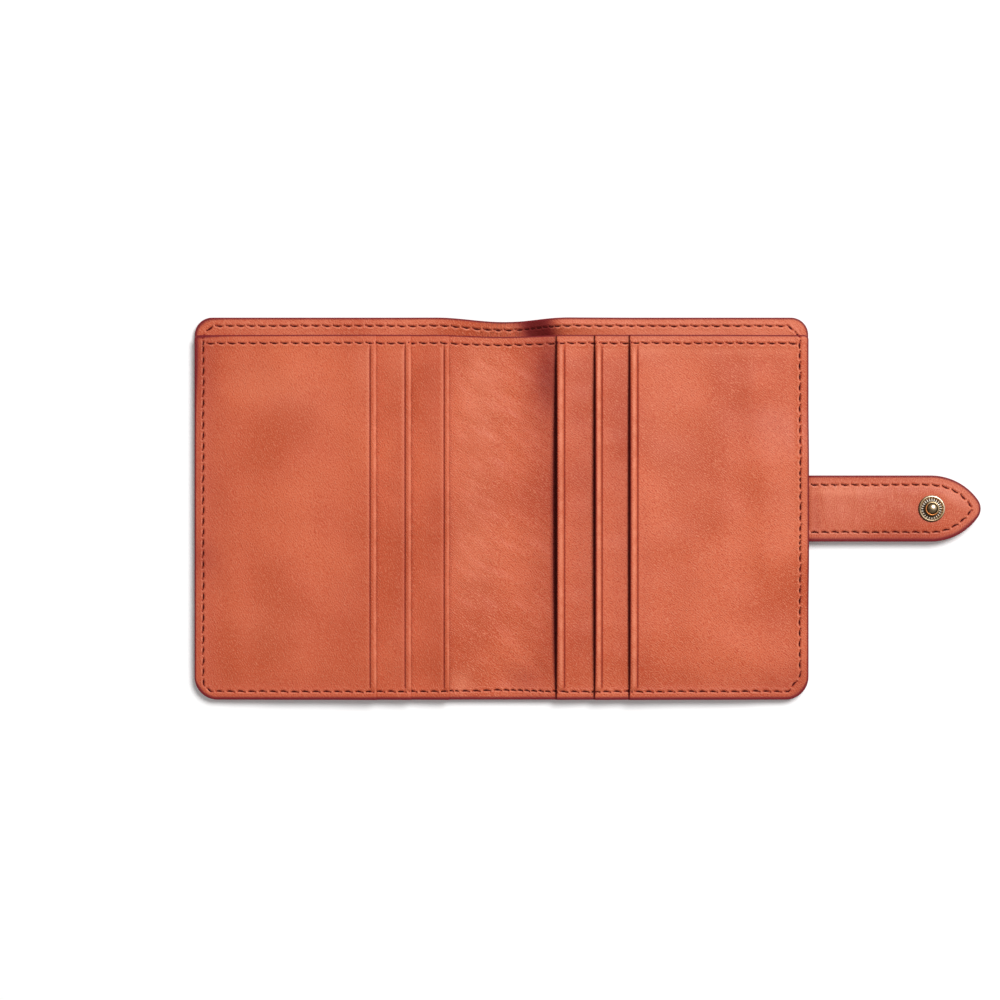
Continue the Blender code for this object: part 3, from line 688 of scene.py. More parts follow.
def triangles(plan: Array, border: int) -> list[list[int]]:
    """Triangles between points, whose first ones are the closed border."""
    rim = [(index, (index + 1) % border) for index in range(border)]
    made = delaunay_2d_cdt([Vector(point) for point in plan], rim, [], 1, 1e-5)
    origin = [sources[0] for sources in made[3]]
    return [[origin[index] for index in corner] for corner in made[2]]


def bend(item: Item) -> None:
    """Bake a piece's transform into its mesh."""
    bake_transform(item)


def declare(
    item: Item, nodes: Sequence[str],
) -> None:
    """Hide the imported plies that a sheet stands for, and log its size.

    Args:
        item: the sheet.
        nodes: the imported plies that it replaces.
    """
    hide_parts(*nodes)
    log.info("%s, %d vertices", item.name, len(item.data.vertices))


# Shader and geometry trees

class Graph:
    """Makes and links the nodes of one tree."""

    def __init__(self, tree: bpy.types.NodeTree) -> None:
        """Keep the tree."""
        self.tree = tree

    def node(
        self, kind: str, settings: Optional[dict] = None, sockets: Optional[dict] = None,
    ) -> bpy.types.Node:
        """Add a node.

        Args:
            kind: the node's type.
            settings: its own settings, set before anything else.
            sockets: values or links of its inputs, by name or number.
        Returns:
            The node.
        """
        made = self.tree.nodes.new(kind)
        for name, value in (settings or {}).items():
            setattr(made, name, value)
        for name, value in (sockets or {}).items():
            if isinstance(value, Flow):
                value = value.socket
            if isinstance(value, Socket):
                self.tree.links.new(value, made.inputs[name])
            else:
                made.inputs[name].default_value = value
        return made

    def flow(
        self, kind: str, settings: Optional[dict] = None, sockets: Optional[dict] = None,
        output: Union[int, str] = 0,
    ) -> "Flow":
        """Add a node, and give one of its outputs."""
        return Flow(self, self.node(kind, settings, sockets).outputs[output])

    def ramp(self, factor: "Flow", stops: Sequence[tuple[float, Colour]]) -> "Flow":
        """A colour ramp with the given stops."""
        made = self.node("ShaderNodeValToRGB", sockets={0: factor})
        elements = made.color_ramp.elements
        while len(elements) < len(stops):
            elements.new(0.5)
        for element, (place, colour) in zip(elements, stops):
            element.position = place
            element.color = (*colour, 1.0)
        return Flow(self, made.outputs[0])


def operator(kind: str, swapped: bool = False) -> Callable[["Flow", Number], "Flow"]:
    """An operator on a socket and a number or another socket, which adds a Math node."""
    return lambda one, other: one.combine(kind, *((other, one) if swapped else (one, other)))


class Flow:
    """A socket that takes part in sums, products and mixes."""

    __add__ = __radd__ = operator("ADD")
    __sub__, __rsub__ = operator("SUBTRACT"), operator("SUBTRACT", True)
    __mul__ = __rmul__ = operator("MULTIPLY")

    def __init__(self, graph: Graph, socket: Socket) -> None:
        """Keep the socket and its graph."""
        self.graph, self.socket = graph, socket

    def combine(self, operation: str, first: Number, second: Number = 0.0) -> "Flow":
        """A Math node on one or two values."""
        sockets = {0: first, 1: second, 2: 0.0}
        return self.graph.flow("ShaderNodeMath", {"operation": operation}, sockets)

    def clamp(self) -> "Flow":
        """This, held between 0 and 1."""
        return self.graph.flow("ShaderNodeClamp", sockets={0: self})

    def sine(self) -> "Flow":
        """The sine of this."""
        return self.combine("SINE", self)

    def step(self, start: float, end: float) -> "Flow":
        """A smooth step of this between two values."""
        return self.graph.flow(
            "ShaderNodeMapRange", {"interpolation_type": "SMOOTHSTEP"}, {0: self, 1: start, 2: end}
        )


class Shader(Graph):
    """A material under construction, with the patterns that the finishes share."""

    def __init__(self, name: str) -> None:
        """Start a material with a bare shader."""
        self.material = bpy.data.materials.new(name)
        self.material.use_nodes = True
        super().__init__(self.material.node_tree)
        self.surface = self.tree.nodes["Principled BSDF"]
        self.place = self.flow("ShaderNodeTexCoord", output="Object")

    def noise(
        self, size: float, detail: float = 2.0, rough: float = 0.5, place: Optional[Flow] = None
    ) -> Flow:
        """Soft noise whose grains are about a size in millimetres across."""
        return self.flow("ShaderNodeTexNoise", sockets={
            "Vector": place or self.place, "Scale": 1 / (size * MM), "Detail": detail,
            "Roughness": rough,
        })

    def turned(self, angle: float, stretch: float = 1.0) -> Flow:
        """Object coordinates turned about Z and drawn out along the turned X."""
        return self.flow("ShaderNodeMapping", {"vector_type": "TEXTURE"}, {
            "Vector": self.place, "Rotation": (0, 0, math.radians(angle)),
            "Scale": (stretch, 1, 1),
        })

    def value(self, name: str) -> Flow:
        """A value that the meshes carry under a name."""
        return self.flow("ShaderNodeAttribute", {"attribute_name": name}, output="Fac")

    def axis(self, index: int, place: Optional[Flow] = None) -> Flow:
        """One coordinate."""
        return self.flow("ShaderNodeSeparateXYZ", sockets={0: place or self.place}, output=index)

    def mix(self, share: Number, first: Union[Flow, Colour], second: Union[Flow, Colour]) -> Flow:
        """A mix of two colours."""
        sides = {
            number: (side if isinstance(side, Flow) else (*side, 1.0))
            for number, side in ((6, first), (7, second))
        }
        return self.flow("ShaderNodeMix", {"data_type": "RGBA"}, {0: share, **sides}, 2)

    def bump(self, height: Flow, depth: float, under: Optional[Flow] = None) -> Flow:
        """Relief of a depth in millimetres, on top of other relief."""
        sockets = {"Height": height, "Distance": depth * MM, "Strength": 1.0}
        if under is not None:
            sockets["Normal"] = under
        return self.flow("ShaderNodeBump", sockets=sockets)

    def finish(self, **sockets: Union[Flow, float, tuple]) -> Material:
        """Set the surface's own sockets and return the material."""
        for name, value in sockets.items():
            target = self.surface.inputs[name.replace("_", " ")]
            if isinstance(value, Flow):
                self.tree.links.new(value.socket, target)
            else:
                target.default_value = value
        return self.material


# Finishes

@dataclass(frozen=True)
class Leather:
    """Fine-grained leather with painted edges, darkened by painted shade where it is sewn, creased or
    shadowed, and paled by painted sheen on ridges and lips.
    """

    name: str
    body: Colour = (0.590, 0.110, 0.043)
    deep: Colour = (0.515, 0.084, 0.030)
    pale: Colour = (0.665, 0.140, 0.060)
    pore: Colour = (0.490, 0.062, 0.021)
    fleck: Colour = (0.700, 0.198, 0.104)
    # Colours of painted shade, from the first step to the darkest
    first_shade: Colour = (0.235, 0.013, 0.017)
    stain: Colour = (0.092, 0.008, 0.006)
    paint: Colour = (0.180, 0.014, 0.019)
    # Colour of painted sheen
    sheen_tone: Colour = (0.870, 0.282, 0.160)
    glint: Colour = (1.0, 0.55, 0.45)
    pebble: float = 0.31
    crease: float = 0.53
    crease_angle: float = -42.0
    contrast: float = 5.0
    depth: float = 0.16
    roughness: float = 0.47
    polish: float = 0.27
    spread: float = 0.15

    def grain(self, make: Shader) -> Flow:
        """Pebbles crossed by short fine creases, about 0.5 all over."""
        pebbles = make.noise(self.pebble, 0.0)
        across = make.axis(1, make.turned(self.crease_angle)) * (2 * math.pi / (self.crease * MM))
        shown = make.noise(0.7, 1.0).step(0.35, 0.60)
        creases = (across + 16.0 * make.noise(1.5, 1.0)).sine() * shown
        return 0.5 * pebbles + 0.125 * creases + 0.25

    def material(self) -> Material:
        """Build the leather's material."""
        make = Shader(self.name)
        cloud = make.noise(22.0, 1.5)
        patch = make.noise(4.5, 3.0, 0.6)
        mottle = make.noise(0.9, 3.0, 0.65)
        grain = self.grain(make)
        tone = 0.86 * cloud + 0.09 * patch + 0.05 * mottle
        colour = make.ramp(
            tone.step(0.5 - self.spread, 0.5 + self.spread),
            [(0.0, self.deep), (0.5, self.body), (1.0, self.pale)],
        )
        colour = make.mix(((0.5 - grain) * self.contrast).clamp(), colour, self.pore)
        colour = make.mix(((grain - 0.5) * self.contrast).clamp(), colour, self.fleck)
        # Painted sheen pales ridges, lips and patches, and painted shade darkens furrows, holes,
        # creases, gaps and patches
        wear = make.value("wear")
        colour = make.mix((wear * (0.7 + 0.6 * grain)).clamp(), colour, self.sheen_tone)
        stain = (make.value("stain") * (0.75 + 0.5 * mottle)).clamp()
        colour = make.mix((stain * 1.4).clamp(), colour, self.first_shade)
        colour = make.mix((stain * 1.43 - 0.43).clamp(), colour, self.stain)
        paint = (make.value("paint") * 1.4 - 0.3 * mottle).clamp()
        colour = make.mix(paint, colour, self.paint)
        relief = make.bump(grain, self.depth)
        folds = make.noise(0.5, 2.0, 0.6, make.turned(90.0, 9.0))
        relief = make.bump(folds * make.value("pleat"), 0.7, relief)
        rough = self.roughness + 0.16 * (grain - 0.5) + 0.06 * (patch - 0.5) + 0.2 * stain
        polish = self.polish * (1.0 - stain - 0.8 * paint).clamp() * (0.9 + 0.2 * patch)
        return make.finish(
            Base_Color=colour, Roughness=rough, Normal=relief, Specular_IOR_Level=0.2,
            Specular_Tint=(*self.glint, 1.0), Coat_Weight=polish, Coat_Roughness=0.42,
        )


@dataclass(frozen=True)
class Cloth:
    """Plain woven cloth."""

    name: str
    warp: Colour
    weft: Colour
    thread: float = 0.34

    def material(self) -> Material:
        """Build the cloth's material."""
        make = Shader(self.name)
        turn = 2 * math.pi / (self.thread * MM)
        across = (make.axis(0) * turn).sine()
        along = (make.axis(1) * turn).sine()
        over = (across * along).step(-0.4, 0.4)
        slub = make.noise(1.4, 3.0, 0.6)
        colour = make.mix((over * 0.8 + slub * 0.3).clamp(), self.warp, self.weft)
        relief = make.bump(over * (0.6 + 0.4 * slub), 0.06)
        rough = 0.82 + 0.1 * slub
        return make.finish(Base_Color=colour, Roughness=rough, Normal=relief)


@dataclass(frozen=True)
class Thread:
    """Waxed sewing thread."""

    name: str
    dark: Colour = (0.018, 0.001, 0.001)
    light: Colour = (0.062, 0.004, 0.004)

    def material(self) -> Material:
        """Build the thread's material."""
        make = Shader(self.name)
        twist = make.noise(0.35, 2.0, 0.6, make.turned(35.0, 2.6))
        colour = make.mix(twist.step(0.35, 0.65), self.dark, self.light)
        return make.finish(
            Base_Color=colour, Roughness=0.6 + 0.2 * twist, Normal=make.bump(twist, 0.05),
            Specular_IOR_Level=0.15, Specular_Tint=(1.0, 0.5, 0.4, 1.0),
        )


@dataclass(frozen=True)
class Metal:
    """Polished metal, darker with tarnish in its hollows and with painted shade away from the lamp,
    paler with painted highlights, and orange with a painted reflection of the leather.
    """

    name: str
    bright: Colour
    tarnish_and_shade: Colour
    painted_highlight: Colour = (0.9, 0.9, 0.9)
    leather_reflection: Colour = (0.400, 0.140, 0.035)
    roughness: float = 0.2

    def material(self) -> Material:
        """Build the metal's material."""
        make = Shader(self.name)
        smear = make.noise(0.8, 3.0, 0.6)
        speck = make.noise(0.15, 2.0, 0.7)
        # Tarnish and painted shade darken it, painted highlights pale it, and the values under the
        # name paint carry a painted reflection of the leather
        dark_share = make.value("stain")
        dull = (dark_share + 0.25 * smear.step(0.5, 0.8)).clamp()
        colour = make.mix(dull, self.bright, self.tarnish_and_shade)
        colour = make.mix(make.value("paint").clamp(), colour, self.leather_reflection)
        colour = make.mix(make.value("wear").clamp(), colour, self.painted_highlight)
        rough = self.roughness + 0.22 * dark_share + 0.10 * (smear - 0.5) + 0.06 * (speck - 0.5)
        relief = make.bump(speck, 0.004)
        return make.finish(
            Base_Color=colour, Roughness=rough, Metallic=1.0 - 0.15 * dark_share, Normal=relief
        )


FINISHES = (
    Leather(
        "shell_leather", body=(0.622, 0.134, 0.062), pale=(0.700, 0.170, 0.083), contrast=4.2,
        spread=0.2,
    ),
    Leather("creased_pocket_leather"),
    Leather(
        "pocket_leather", body=(0.608, 0.117, 0.051), contrast=3.2, spread=0.22, pebble=0.34,
        crease=0.58, crease_angle=-60.0,
    ),
    Leather("centre_leather", contrast=5.4),
    Leather(
        "strap_leather", body=(0.565, 0.118, 0.058), pale=(0.640, 0.148, 0.076), contrast=4.4,
        crease_angle=75.0, polish=0.40,
    ),
    Cloth("lining_cloth", (0.150, 0.062, 0.040), (0.240, 0.110, 0.072)),
    Cloth("tail_cloth", (0.170, 0.085, 0.055), (0.270, 0.150, 0.100)),
    Thread("stitch_thread"),
    Metal(
        "gilt_brass", (0.450, 0.320, 0.170), (0.040, 0.022, 0.010), (0.920, 0.860, 0.760),
        roughness=0.22,
    ),
    Metal("spring_steel", (0.620, 0.620, 0.620), (0.150, 0.150, 0.150)),
)


# Stitches

class StitchTree:
    """The node tree that sews one thread loop at each point of a path."""

    INPUTS = (
        ("Dash", "NodeSocketFloat", DASH * MM),
        ("Radius", "NodeSocketFloat", 0.13 * MM),
        ("Rise", "NodeSocketFloat", 0.26 * MM),
        ("Sink", "NodeSocketFloat", 0.26 * MM),
        ("Lean", "NodeSocketFloat", SLANT),
        ("Sag", "NodeSocketFloat", SAG * MM),
        ("Jitter", "NodeSocketFloat", 0.10),
        ("Up", "NodeSocketVector", (0.0, 0.0, 1.0)),
        ("Seed", "NodeSocketInt", 0),
        ("Thread", "NodeSocketMaterial", None),
    )

    def __init__(self) -> None:
        """Build the tree once."""
        self.tree = bpy.data.node_groups.new("stitch_row", "GeometryNodeTree")
        face = self.tree.interface
        face.new_socket("Geometry", in_out="INPUT", socket_type="NodeSocketGeometry")
        face.new_socket("Geometry", in_out="OUTPUT", socket_type="NodeSocketGeometry")
        self.sockets = {}
        for name, kind, value in self.INPUTS:
            socket = face.new_socket(name, in_out="INPUT", socket_type=kind)
            if value is not None:
                socket.default_value = value
            self.sockets[name] = socket.identifier
        graph = Graph(self.tree)
        outputs = graph.node("NodeGroupInput").outputs
        given = {name: Flow(graph, outputs[name]) for name in ("Geometry", *self.sockets)}
        loop, turn = self._loop(graph, given), self._turn(graph, given)
        placed = graph.flow("GeometryNodeInstanceOnPoints", sockets={
            "Points": given["Geometry"], "Instance": loop, "Rotation": turn,
            "Scale": self._chance(graph, given, 0.93, 1.07),
        })
        whole = graph.flow("GeometryNodeRealizeInstances", sockets={0: placed})
        dyed = graph.flow("GeometryNodeSetMaterial", sockets={
            "Geometry": whole, "Material": given["Thread"],
        })
        graph.node("NodeGroupOutput", sockets={0: dyed})

    @staticmethod
    def _chance(graph: Graph, given: dict[str, Flow], low: float, high: float) -> Flow:
        """A number drawn for each stitch, between two others."""
        sockets = {2: low, 3: high, "Seed": given["Seed"]}
        return graph.flow("FunctionNodeRandomValue", {"data_type": "FLOAT"}, sockets, 1)

    @staticmethod
    def _loop(graph: Graph, given: dict[str, Flow]) -> Flow:
        """One loop of thread, bowed up between its two holes."""
        def point(along: Flow, height: Flow, aside: Number = 0.0) -> Flow:
            return graph.flow("ShaderNodeCombineXYZ", sockets={0: along, 1: aside, 2: height})

        half, sink = given["Dash"] * 0.5, given["Sink"] * -1.0
        bow = graph.flow("GeometryNodeCurveQuadraticBezier", sockets={
            "Resolution": 10, "Start": point(half * -1.0, sink), "End": point(half, sink),
            "Middle": point(half * 0.0, given["Rise"], given["Sag"] * -2.0),
        })
        along = graph.flow("GeometryNodeSplineParameter") - 0.5
        tapered = graph.flow("GeometryNodeSetCurveRadius", sockets={
            "Curve": bow, "Radius": 1.0 - 2.6 * along * along,
        })
        ring = graph.flow("GeometryNodeCurvePrimitiveCircle", sockets={
            "Resolution": 8, "Radius": given["Radius"],
        })
        tube = graph.flow("GeometryNodeCurveToMesh", sockets={
            "Curve": tapered, "Profile Curve": ring, "Fill Caps": True,
        })
        return graph.flow("GeometryNodeSetShadeSmooth", sockets={0: tube})

    @classmethod
    def _turn(cls, graph: Graph, given: dict[str, Flow]) -> Flow:
        """Each loop's turn: along the path, upright, and leaning a little."""
        way = graph.flow("GeometryNodeInputTangent")
        along = graph.flow("FunctionNodeAlignRotationToVector", {"axis": "X"}, {"Vector": way})
        upright = graph.flow(
            "FunctionNodeAlignRotationToVector", {"axis": "Z", "pivot_axis": "X"},
            {"Rotation": along, "Vector": given["Up"]},
        )
        lean = given["Jitter"] * cls._chance(graph, given, -1.0, 1.0) - given["Lean"]
        euler = graph.flow("ShaderNodeCombineXYZ", sockets={2: lean})
        leaning = graph.flow("FunctionNodeEulerToRotation", sockets={0: euler})
        return graph.flow(
            "FunctionNodeRotateRotation", {"rotation_space": "LOCAL"}, {0: upright, 1: leaning}
        )

    def sew(
        self, name: str, points: Array, up: float, seed: int, thread: Material,
        **sizes: float,
    ) -> Item:
        """Sew a row.

        Args:
            name: the new object's name.
            points: middle of each stitch, in millimetres.
            up: 1 for a row on top of the leather, -1 for one underneath.
            seed: seed of the small unevenness.
            thread: the thread's material.
            sizes: other inputs of the tree, by name, in millimetres.
        Returns:
            The row as a plain mesh.
        """
        curve = bpy.data.curves.new(name, "CURVE")
        curve.dimensions = "3D"
        spline = curve.splines.new("POLY")
        spline.points.add(len(points) - 1)
        for point, place in zip(spline.points, points):
            point.co = (*(place * MM), 1.0)
        guide = bpy.data.objects.new(name + "_guide", curve)
        bpy.context.scene.collection.objects.link(guide)
        row = guide.modifiers.new("stitches", "NODES")
        row.node_group = self.tree
        inputs = {
            "Thread": thread, "Up": (0.0, 0.0, up), "Seed": seed, "Lean": SLANT * up,
            "Sag": SAG * up * MM, **{key: value * MM for key, value in sizes.items()},
        }
        for key, value in inputs.items():
            row[self.sockets[key]] = value
        graph = bpy.context.evaluated_depsgraph_get()
        mesh = bpy.data.meshes.new_from_object(guide.evaluated_get(graph))
        bpy.data.objects.remove(guide)
        mesh.name = name
        if not mesh.materials:
            mesh.materials.append(thread)
        item = bpy.data.objects.new(name, mesh)
        bpy.context.scene.collection.objects.link(item)
        return item


# The halves

# Length over which the steps of a packed ply are rounded off, below it and on leather
CRISP = 2.4
SOFT = 7.0


@lru_cache(maxsize=None)
def ply_line(node: str, softness: float) -> tuple[Array, Array]:
    """Read how a packed ply lies.

    Args:
        node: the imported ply.
        softness: length over which its steps are rounded off, in millimetres.
    Returns:
        Distances from the fold, and the heights of its underside there.
    """
    points = np.array([vertex.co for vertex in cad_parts[node].data.vertices]) / MM
    away = np.abs(points[:, 0]).round(2)
    marks = np.unique(away)
    lowest = np.array([points[away == mark, 2].min() for mark in marks])
    places = np.arange(-8.0, 92.0, 0.2)
    heights = np.interp(places, marks, lowest)
    reach = round(softness / 0.4)
    window = np.ones(2 * reach + 1) / (2 * reach + 1)
    for _pass in range(2):
        heights = np.convolve(np.pad(heights, reach, mode="edge"), window, mode="valid")
    return places, heights


# Edges of cloth: the bottom, outer and top one, and the one at the fold
RAW_PLY = (Edge.RAW, Edge.RAW, Edge.RAW, Edge.JOINED)


@dataclass(frozen=True)
class Shade:
    """Painted shadow beside the three mouths on one side of them: a deep core in a faint band.

    Args:
        cores: how far the cores reach, from the lower mouth to the upper one.
        bands: how far the bands reach.
        depth: how dark the cores are.
        haze: how dark the bands are.
        least: share of its reach that the dark keeps at the ends of a mouth.
    """

    cores: Triple
    bands: Triple
    depth: float
    haze: float
    least: float

    def __call__(self, index: int, away: Array, bow: Array) -> Array:
        """How dark the painted shadow is at distances from a mouth that stands open by shares."""
        share = self.least + (1 - self.least) * bow
        core, band = self.cores[index], self.bands[index]
        deep = self.depth * ease((core * share - away) / (0.55 * core * share))
        return np.maximum(deep, self.haze * ease((band * share - away) / (0.85 * band * share)))


@dataclass(frozen=True)
class HalfStyle:
    """What each half has of its own. Three numbers are for its three pockets, lower first.

    Args:
        look: finish of its pockets.
        hem_widths: how wide their hems are.
        lifts: how far their mouths stand open.
        hem_height: how far a hem stands up.
        crease: how dark the crease beside a hem is: the creaser's darker line with painted shade in
            its groove.
        hem_sheen: where across its width a hem gets a painted highlight, over which share
            of it and how strongly, and how strongly the leather beside it.
        under: the painted shadow on the ply under a mouth.
        above: the painted shade on the hem's side that turns down into the gap.
        cuts: how far the outer seam cuts its top corner, and its bottom one across and up.
        crowded: where its stitches crowd, as x, y, how far round and how many times closer.
    """

    look: str
    hem_widths: Triple
    lifts: Triple
    hem_height: float
    crease: float
    # Painted highlight on the hems
    hem_sheen: Quad
    under: Shade
    above: Shade
    cuts: Triple
    crowded: tuple[Quad, ...]


STYLES = {
    Half.BACK: HalfStyle(
        "creased_pocket_leather", (2.12, 1.94, 2.20), (1.75, 1.20, 0.66), 0.58, 0.54,
        (0.59, 0.21, 0.75, 0.0),
        under=Shade((1.30, 0.44, 0.40), (2.9, 1.2, 1.1), 0.97, 0.45, 0.2),
        above=Shade((0.20, 0.56, 0.56), (0.75, 1.1, 1.1), 0.92, 0.30, 0.3),
        cuts=(3.0, 3.0, 4.0),
        crowded=(
            (9.85, 49.0, 4.8, 1.75), (6.5, -48.6, 8.0, 1.55), (78.9, 7.6, 1.3, 1.9),
            (78.9, -8.8, 1.8, 1.9),
        ),
    ),
    Half.FRONT: HalfStyle(
        "pocket_leather", (1.44, 1.70, 1.76), (0.20, 0.15, 0.13), 0.36, 0.52,
        (0.14, 0.20, 0.80, 0.45),
        under=Shade((0.25, 0.25, 0.25), (0.8, 0.8, 0.8), 0.18, 0.08, 0.2),
        above=Shade((0.25, 0.25, 0.25), (0.8, 0.8, 0.8), 0.0, 0.0, 0.3),
        cuts=(2.5, 1.8, 2.0),
        crowded=((-13.2, -48.6, 1.6, 1.9), (-79.6, 44.2, 1.4, 1.7)),
    ),
}


@dataclass
class HalfBuilder:
    """The leather and cloth of one half: its shell, its pockets and its seams."""

    half: Half
    plan: Plan
    looks: Looks
    stitch: StitchTree
    shell_thickness: float = 1.32
    lining_room: Pair = (1.36, 1.72)
    facing_room: Pair = (1.36, 1.96)
    leather: float = 0.7
    cloth: float = 0.3
    sewn_gap: float = 0.06
    tongue_half: float = 10.0
    seat_radius: float = 4.12
    seat_depth: float = 0.62
    sewn_swell: float = 0.12
    sewn_press: float = 0.09
    cloth_inset: float = 0.15
    facing_turn: float = 3.2
    pocket_depth: float = 46.0
    tail_margin: float = 8.0
    thread_height: float = 0.17
    POCKETS = ("lower", "middle", "upper")

    # x and height of the shell's wavy top edge beside the spine
    WAVE = (
        (-30.0, 0.0), (-17.0, 0.45), (-8.0, 1.0), (0.0, 0.55), (4.8, 0.0), (7.0, 0.35),
        (10.5, 1.45), (14.5, 1.9), (21.0, 1.0), (34.0, 0.0),
    )

    def __post_init__(self) -> None:
        """Lay out the seams."""
        self.reach, self.side = self.plan.reach(self.half), self.half.value
        self.word, self.back = self.half.word, self.half is Half.BACK
        self.style = STYLES[self.half]
        self.seams = self._seams()

    # Heights

    def _settle(self, d: Array, y: Array) -> Array:
        """How far the interior comes down where it is sewn to the shell."""
        places, heights = ply_line(self.word + "_compartment_lining", CRISP)
        room = np.interp(d, places, heights) - self.lining_room[1] - self.sewn_gap
        bottom = ease((-y - (self.plan.half_height - 20.0)) / 18.0)
        outer = ease((d - (self.reach - 30.0)) / 26.0)
        if self.back:
            outer = outer * (1 - ease((self.tongue_half + 18.0 - np.abs(y)) / 17.0))
        return room * np.maximum(bottom, outer)

    def _swell(self, d: Array, y: Array) -> Array:
        """How much a ply thickens towards its neighbours where it is sewn."""
        bottom = ease((-y - (self.plan.half_height - 4.0)) / 3.0)
        outer = ease((d - (self.reach - 4.5)) / 3.0)
        top = ease((y - (self.plan.interior_top - 4.0)) / 3.0)
        return self.sewn_swell * np.maximum(np.maximum(bottom, outer), top)

    def _press(self, y: Array) -> Array:
        """How much thinner everything is along the bottom seam."""
        return 1 - self.sewn_press * ease((-y - (self.plan.half_height - 12.0)) / 10.0)

    def _surface(self, node: str, extra: float, rise: Field = nothing) -> Field:
        """One face of an interior ply.

        Args:
            node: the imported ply, after the half's word.
            extra: its height above the ply's underside; 0 is the underside itself.
            rise: what the ply's own shape adds, from the distance to the fold and y.
        Returns:
            The height at points in plan.
        """
        softness = SOFT if extra > self.cloth else CRISP
        places, heights = ply_line(f"{self.word}_{node}", softness)

        def height(x: Array, y: Array) -> Array:
            d = self.side * x
            z = np.interp(d, places, heights) + extra - self._settle(d, y)
            z = z + self._swell(d, y) * (1 if extra > 0 else -1)
            return (z + rise(d, y)) * self._press(y)

        return height

    def _strip_wave(self, x: Array, y: Array) -> Array:
        """How far the shell's free top edge stands off the table beside the spine."""
        places = np.linspace(self.WAVE[0][0], self.WAVE[-1][0], 257)
        smooth = np.interp(places, *zip(*self.WAVE))
        window = np.hanning(15) / np.hanning(15).sum()
        smooth = np.convolve(np.pad(smooth, 7, mode="edge"), window, mode="valid")
        return np.interp(x, places, smooth, left=0, right=0) * ease((y - 45.0) / 4.5)

    # Outlines and seams

    def _outline(
        self, across: Pair, along: Pair, corners: Pair, edges: Sequence[Edge], dip: float = 0.0
    ) -> Outline:
        """Outline of a ply of this half.

        Args:
            across: its nearest and furthest distance from the fold.
            along: height of its bottom and its top edge.
            corners: radius of the outer bottom and outer top corners.
            edges: finish of the bottom, outer, top and inner edge.
            dip: how far the top edge dips over the spine.
        Returns:
            The outline.
        """
        (start, end), (bottom, top), (low_corner, high_corner) = across, along, corners
        traced = Outline.rounded([
            (start, bottom, 0.0, edges[0]), (end, bottom, low_corner, edges[1]),
            (end, top, high_corner, edges[2]), (start, top, 0.0, edges[3]),
        ])
        if not self.back:
            traced = traced.mirrored()
        return traced.lowered(lambda x, y: self.plan.dip(x, dip), top) if dip else traced

    def _seams(self) -> dict[str, Seam]:
        """The rows of stitches of this half, in plan."""
        plan, inset = self.plan, self.plan.seam_inset
        top, low = plan.half_height - inset, -plan.half_height + inset
        side = self.reach - inset - 0.1
        high_cut, low_cut, low_rise = self.style.cuts
        run = np.linspace(0, side - high_cut, 60)
        edge = np.stack([run, top - plan.dip(run, plan.shell_dip)], 1)
        run = np.linspace(0, side - low_cut, 60)
        rise = np.stack([run, low + 0.35 * ease(1 - run / 12.0)], 1)
        ends = [[side, top - high_cut]], [[side, low + low_rise]]
        outer = np.concatenate([edge, *ends, rise[::-1]])
        run = np.linspace(0, side - 0.6, 60)
        inner = np.stack([run, plan.interior_seam - plan.dip(run, plan.interior_dip)], 1)
        if not self.back:
            outer, inner = (outer * [-1, 1])[::-1], (inner * [-1, 1])[::-1]
        return {
            "outer": Seam(outer, crowded=self.style.crowded),
            "inner": Seam(inner, pitch=2.8),
        }

    def _fold(self, item: Item) -> None:
        """Bake the transform of a piece that reaches into the spine into its mesh."""
        bend(item)

    # Pieces

    def _lay(
        self, name: str, nodes: Sequence[str], look: str, outline: Outline, under: Field,
        top: Field, flat: Pair, rests_on: Sequence[str], slot: str = "", **make: Any,
    ) -> None:
        """Make a ply, attach it to its half's body or bake it in place where it reaches into the
        spine, and hide the packed plies that it stands for.

        Args:
            name: its name, after the half's word.
            nodes: its packed ply, after that word, and the spine's, if it folds.
            look: its finish.
            outline: its outline.
            under: height of its lower face.
            top: height of its upper face.
            flat: the size it was cut to, in millimetres; not used.
            rests_on: the ply under it, after that word; not used.
            slot: its material slot, where that has another name than the finish; not used.
            make: other fields of the sheet.
        """
        item = Sheet(f"{self.word}_{name}", outline, under, top, self.looks[look], **make).build()
        if len(nodes) > 1:
            self._fold(item)
        else:
            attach(item, self.half.body)
        declare(item, (f"{self.word}_{nodes[0]}", *nodes[1:]))

    def shell(self) -> None:
        """The outer leather, with the socket's seat in the front, and its lining."""
        plan, height = self.plan, self.plan.half_height
        painted = (Edge.PAINTED, Edge.PAINTED, Edge.PAINTED, Edge.JOINED)
        corners = (plan.bottom_corner, plan.shell_corner)

        def from_socket(x: Array, y: Array) -> Array:
            return np.hypot(x - SOCKET_X, y) + (1e3 if self.back else 0.0)

        def outside(x: Array, y: Array) -> Array:
            away = from_socket(x, y)
            seat = self.seat_depth * ease((self.seat_radius + 0.06 - away) / 0.12)
            return self._strip_wave(x, y) + (seat - 0.05 * bell(away - 4.7, 0.5))

        def inside(x: Array, y: Array) -> Array:
            return self._strip_wave(x, y) + self.shell_thickness * self._press(y)

        radii = (1.5, 3.0, 3.8, 4.04, 4.1, 4.2, 4.4, 4.8, 5.3)
        self._lay(
            "outer_leather", ("shell", "spine_shell"), "shell_leather",
            self._outline((0, self.reach), (-height, height), corners, painted, plan.shell_dip),
            outside, inside, (self.reach, 2 * height), (), rounding=0.42, spacing=2.4,
            under_spacing=1.1, under_seams=[self.seams["outer"]],
            under_points=None if self.back else circles(SOCKET_X, radii, 64),
        )
        self._facing()
        low, high = self.lining_room

        def lined(x: Array, y: Array) -> Array:
            return high * self._press(y) - 0.16 * ease((4.2 - from_socket(x, y)) / 0.8)

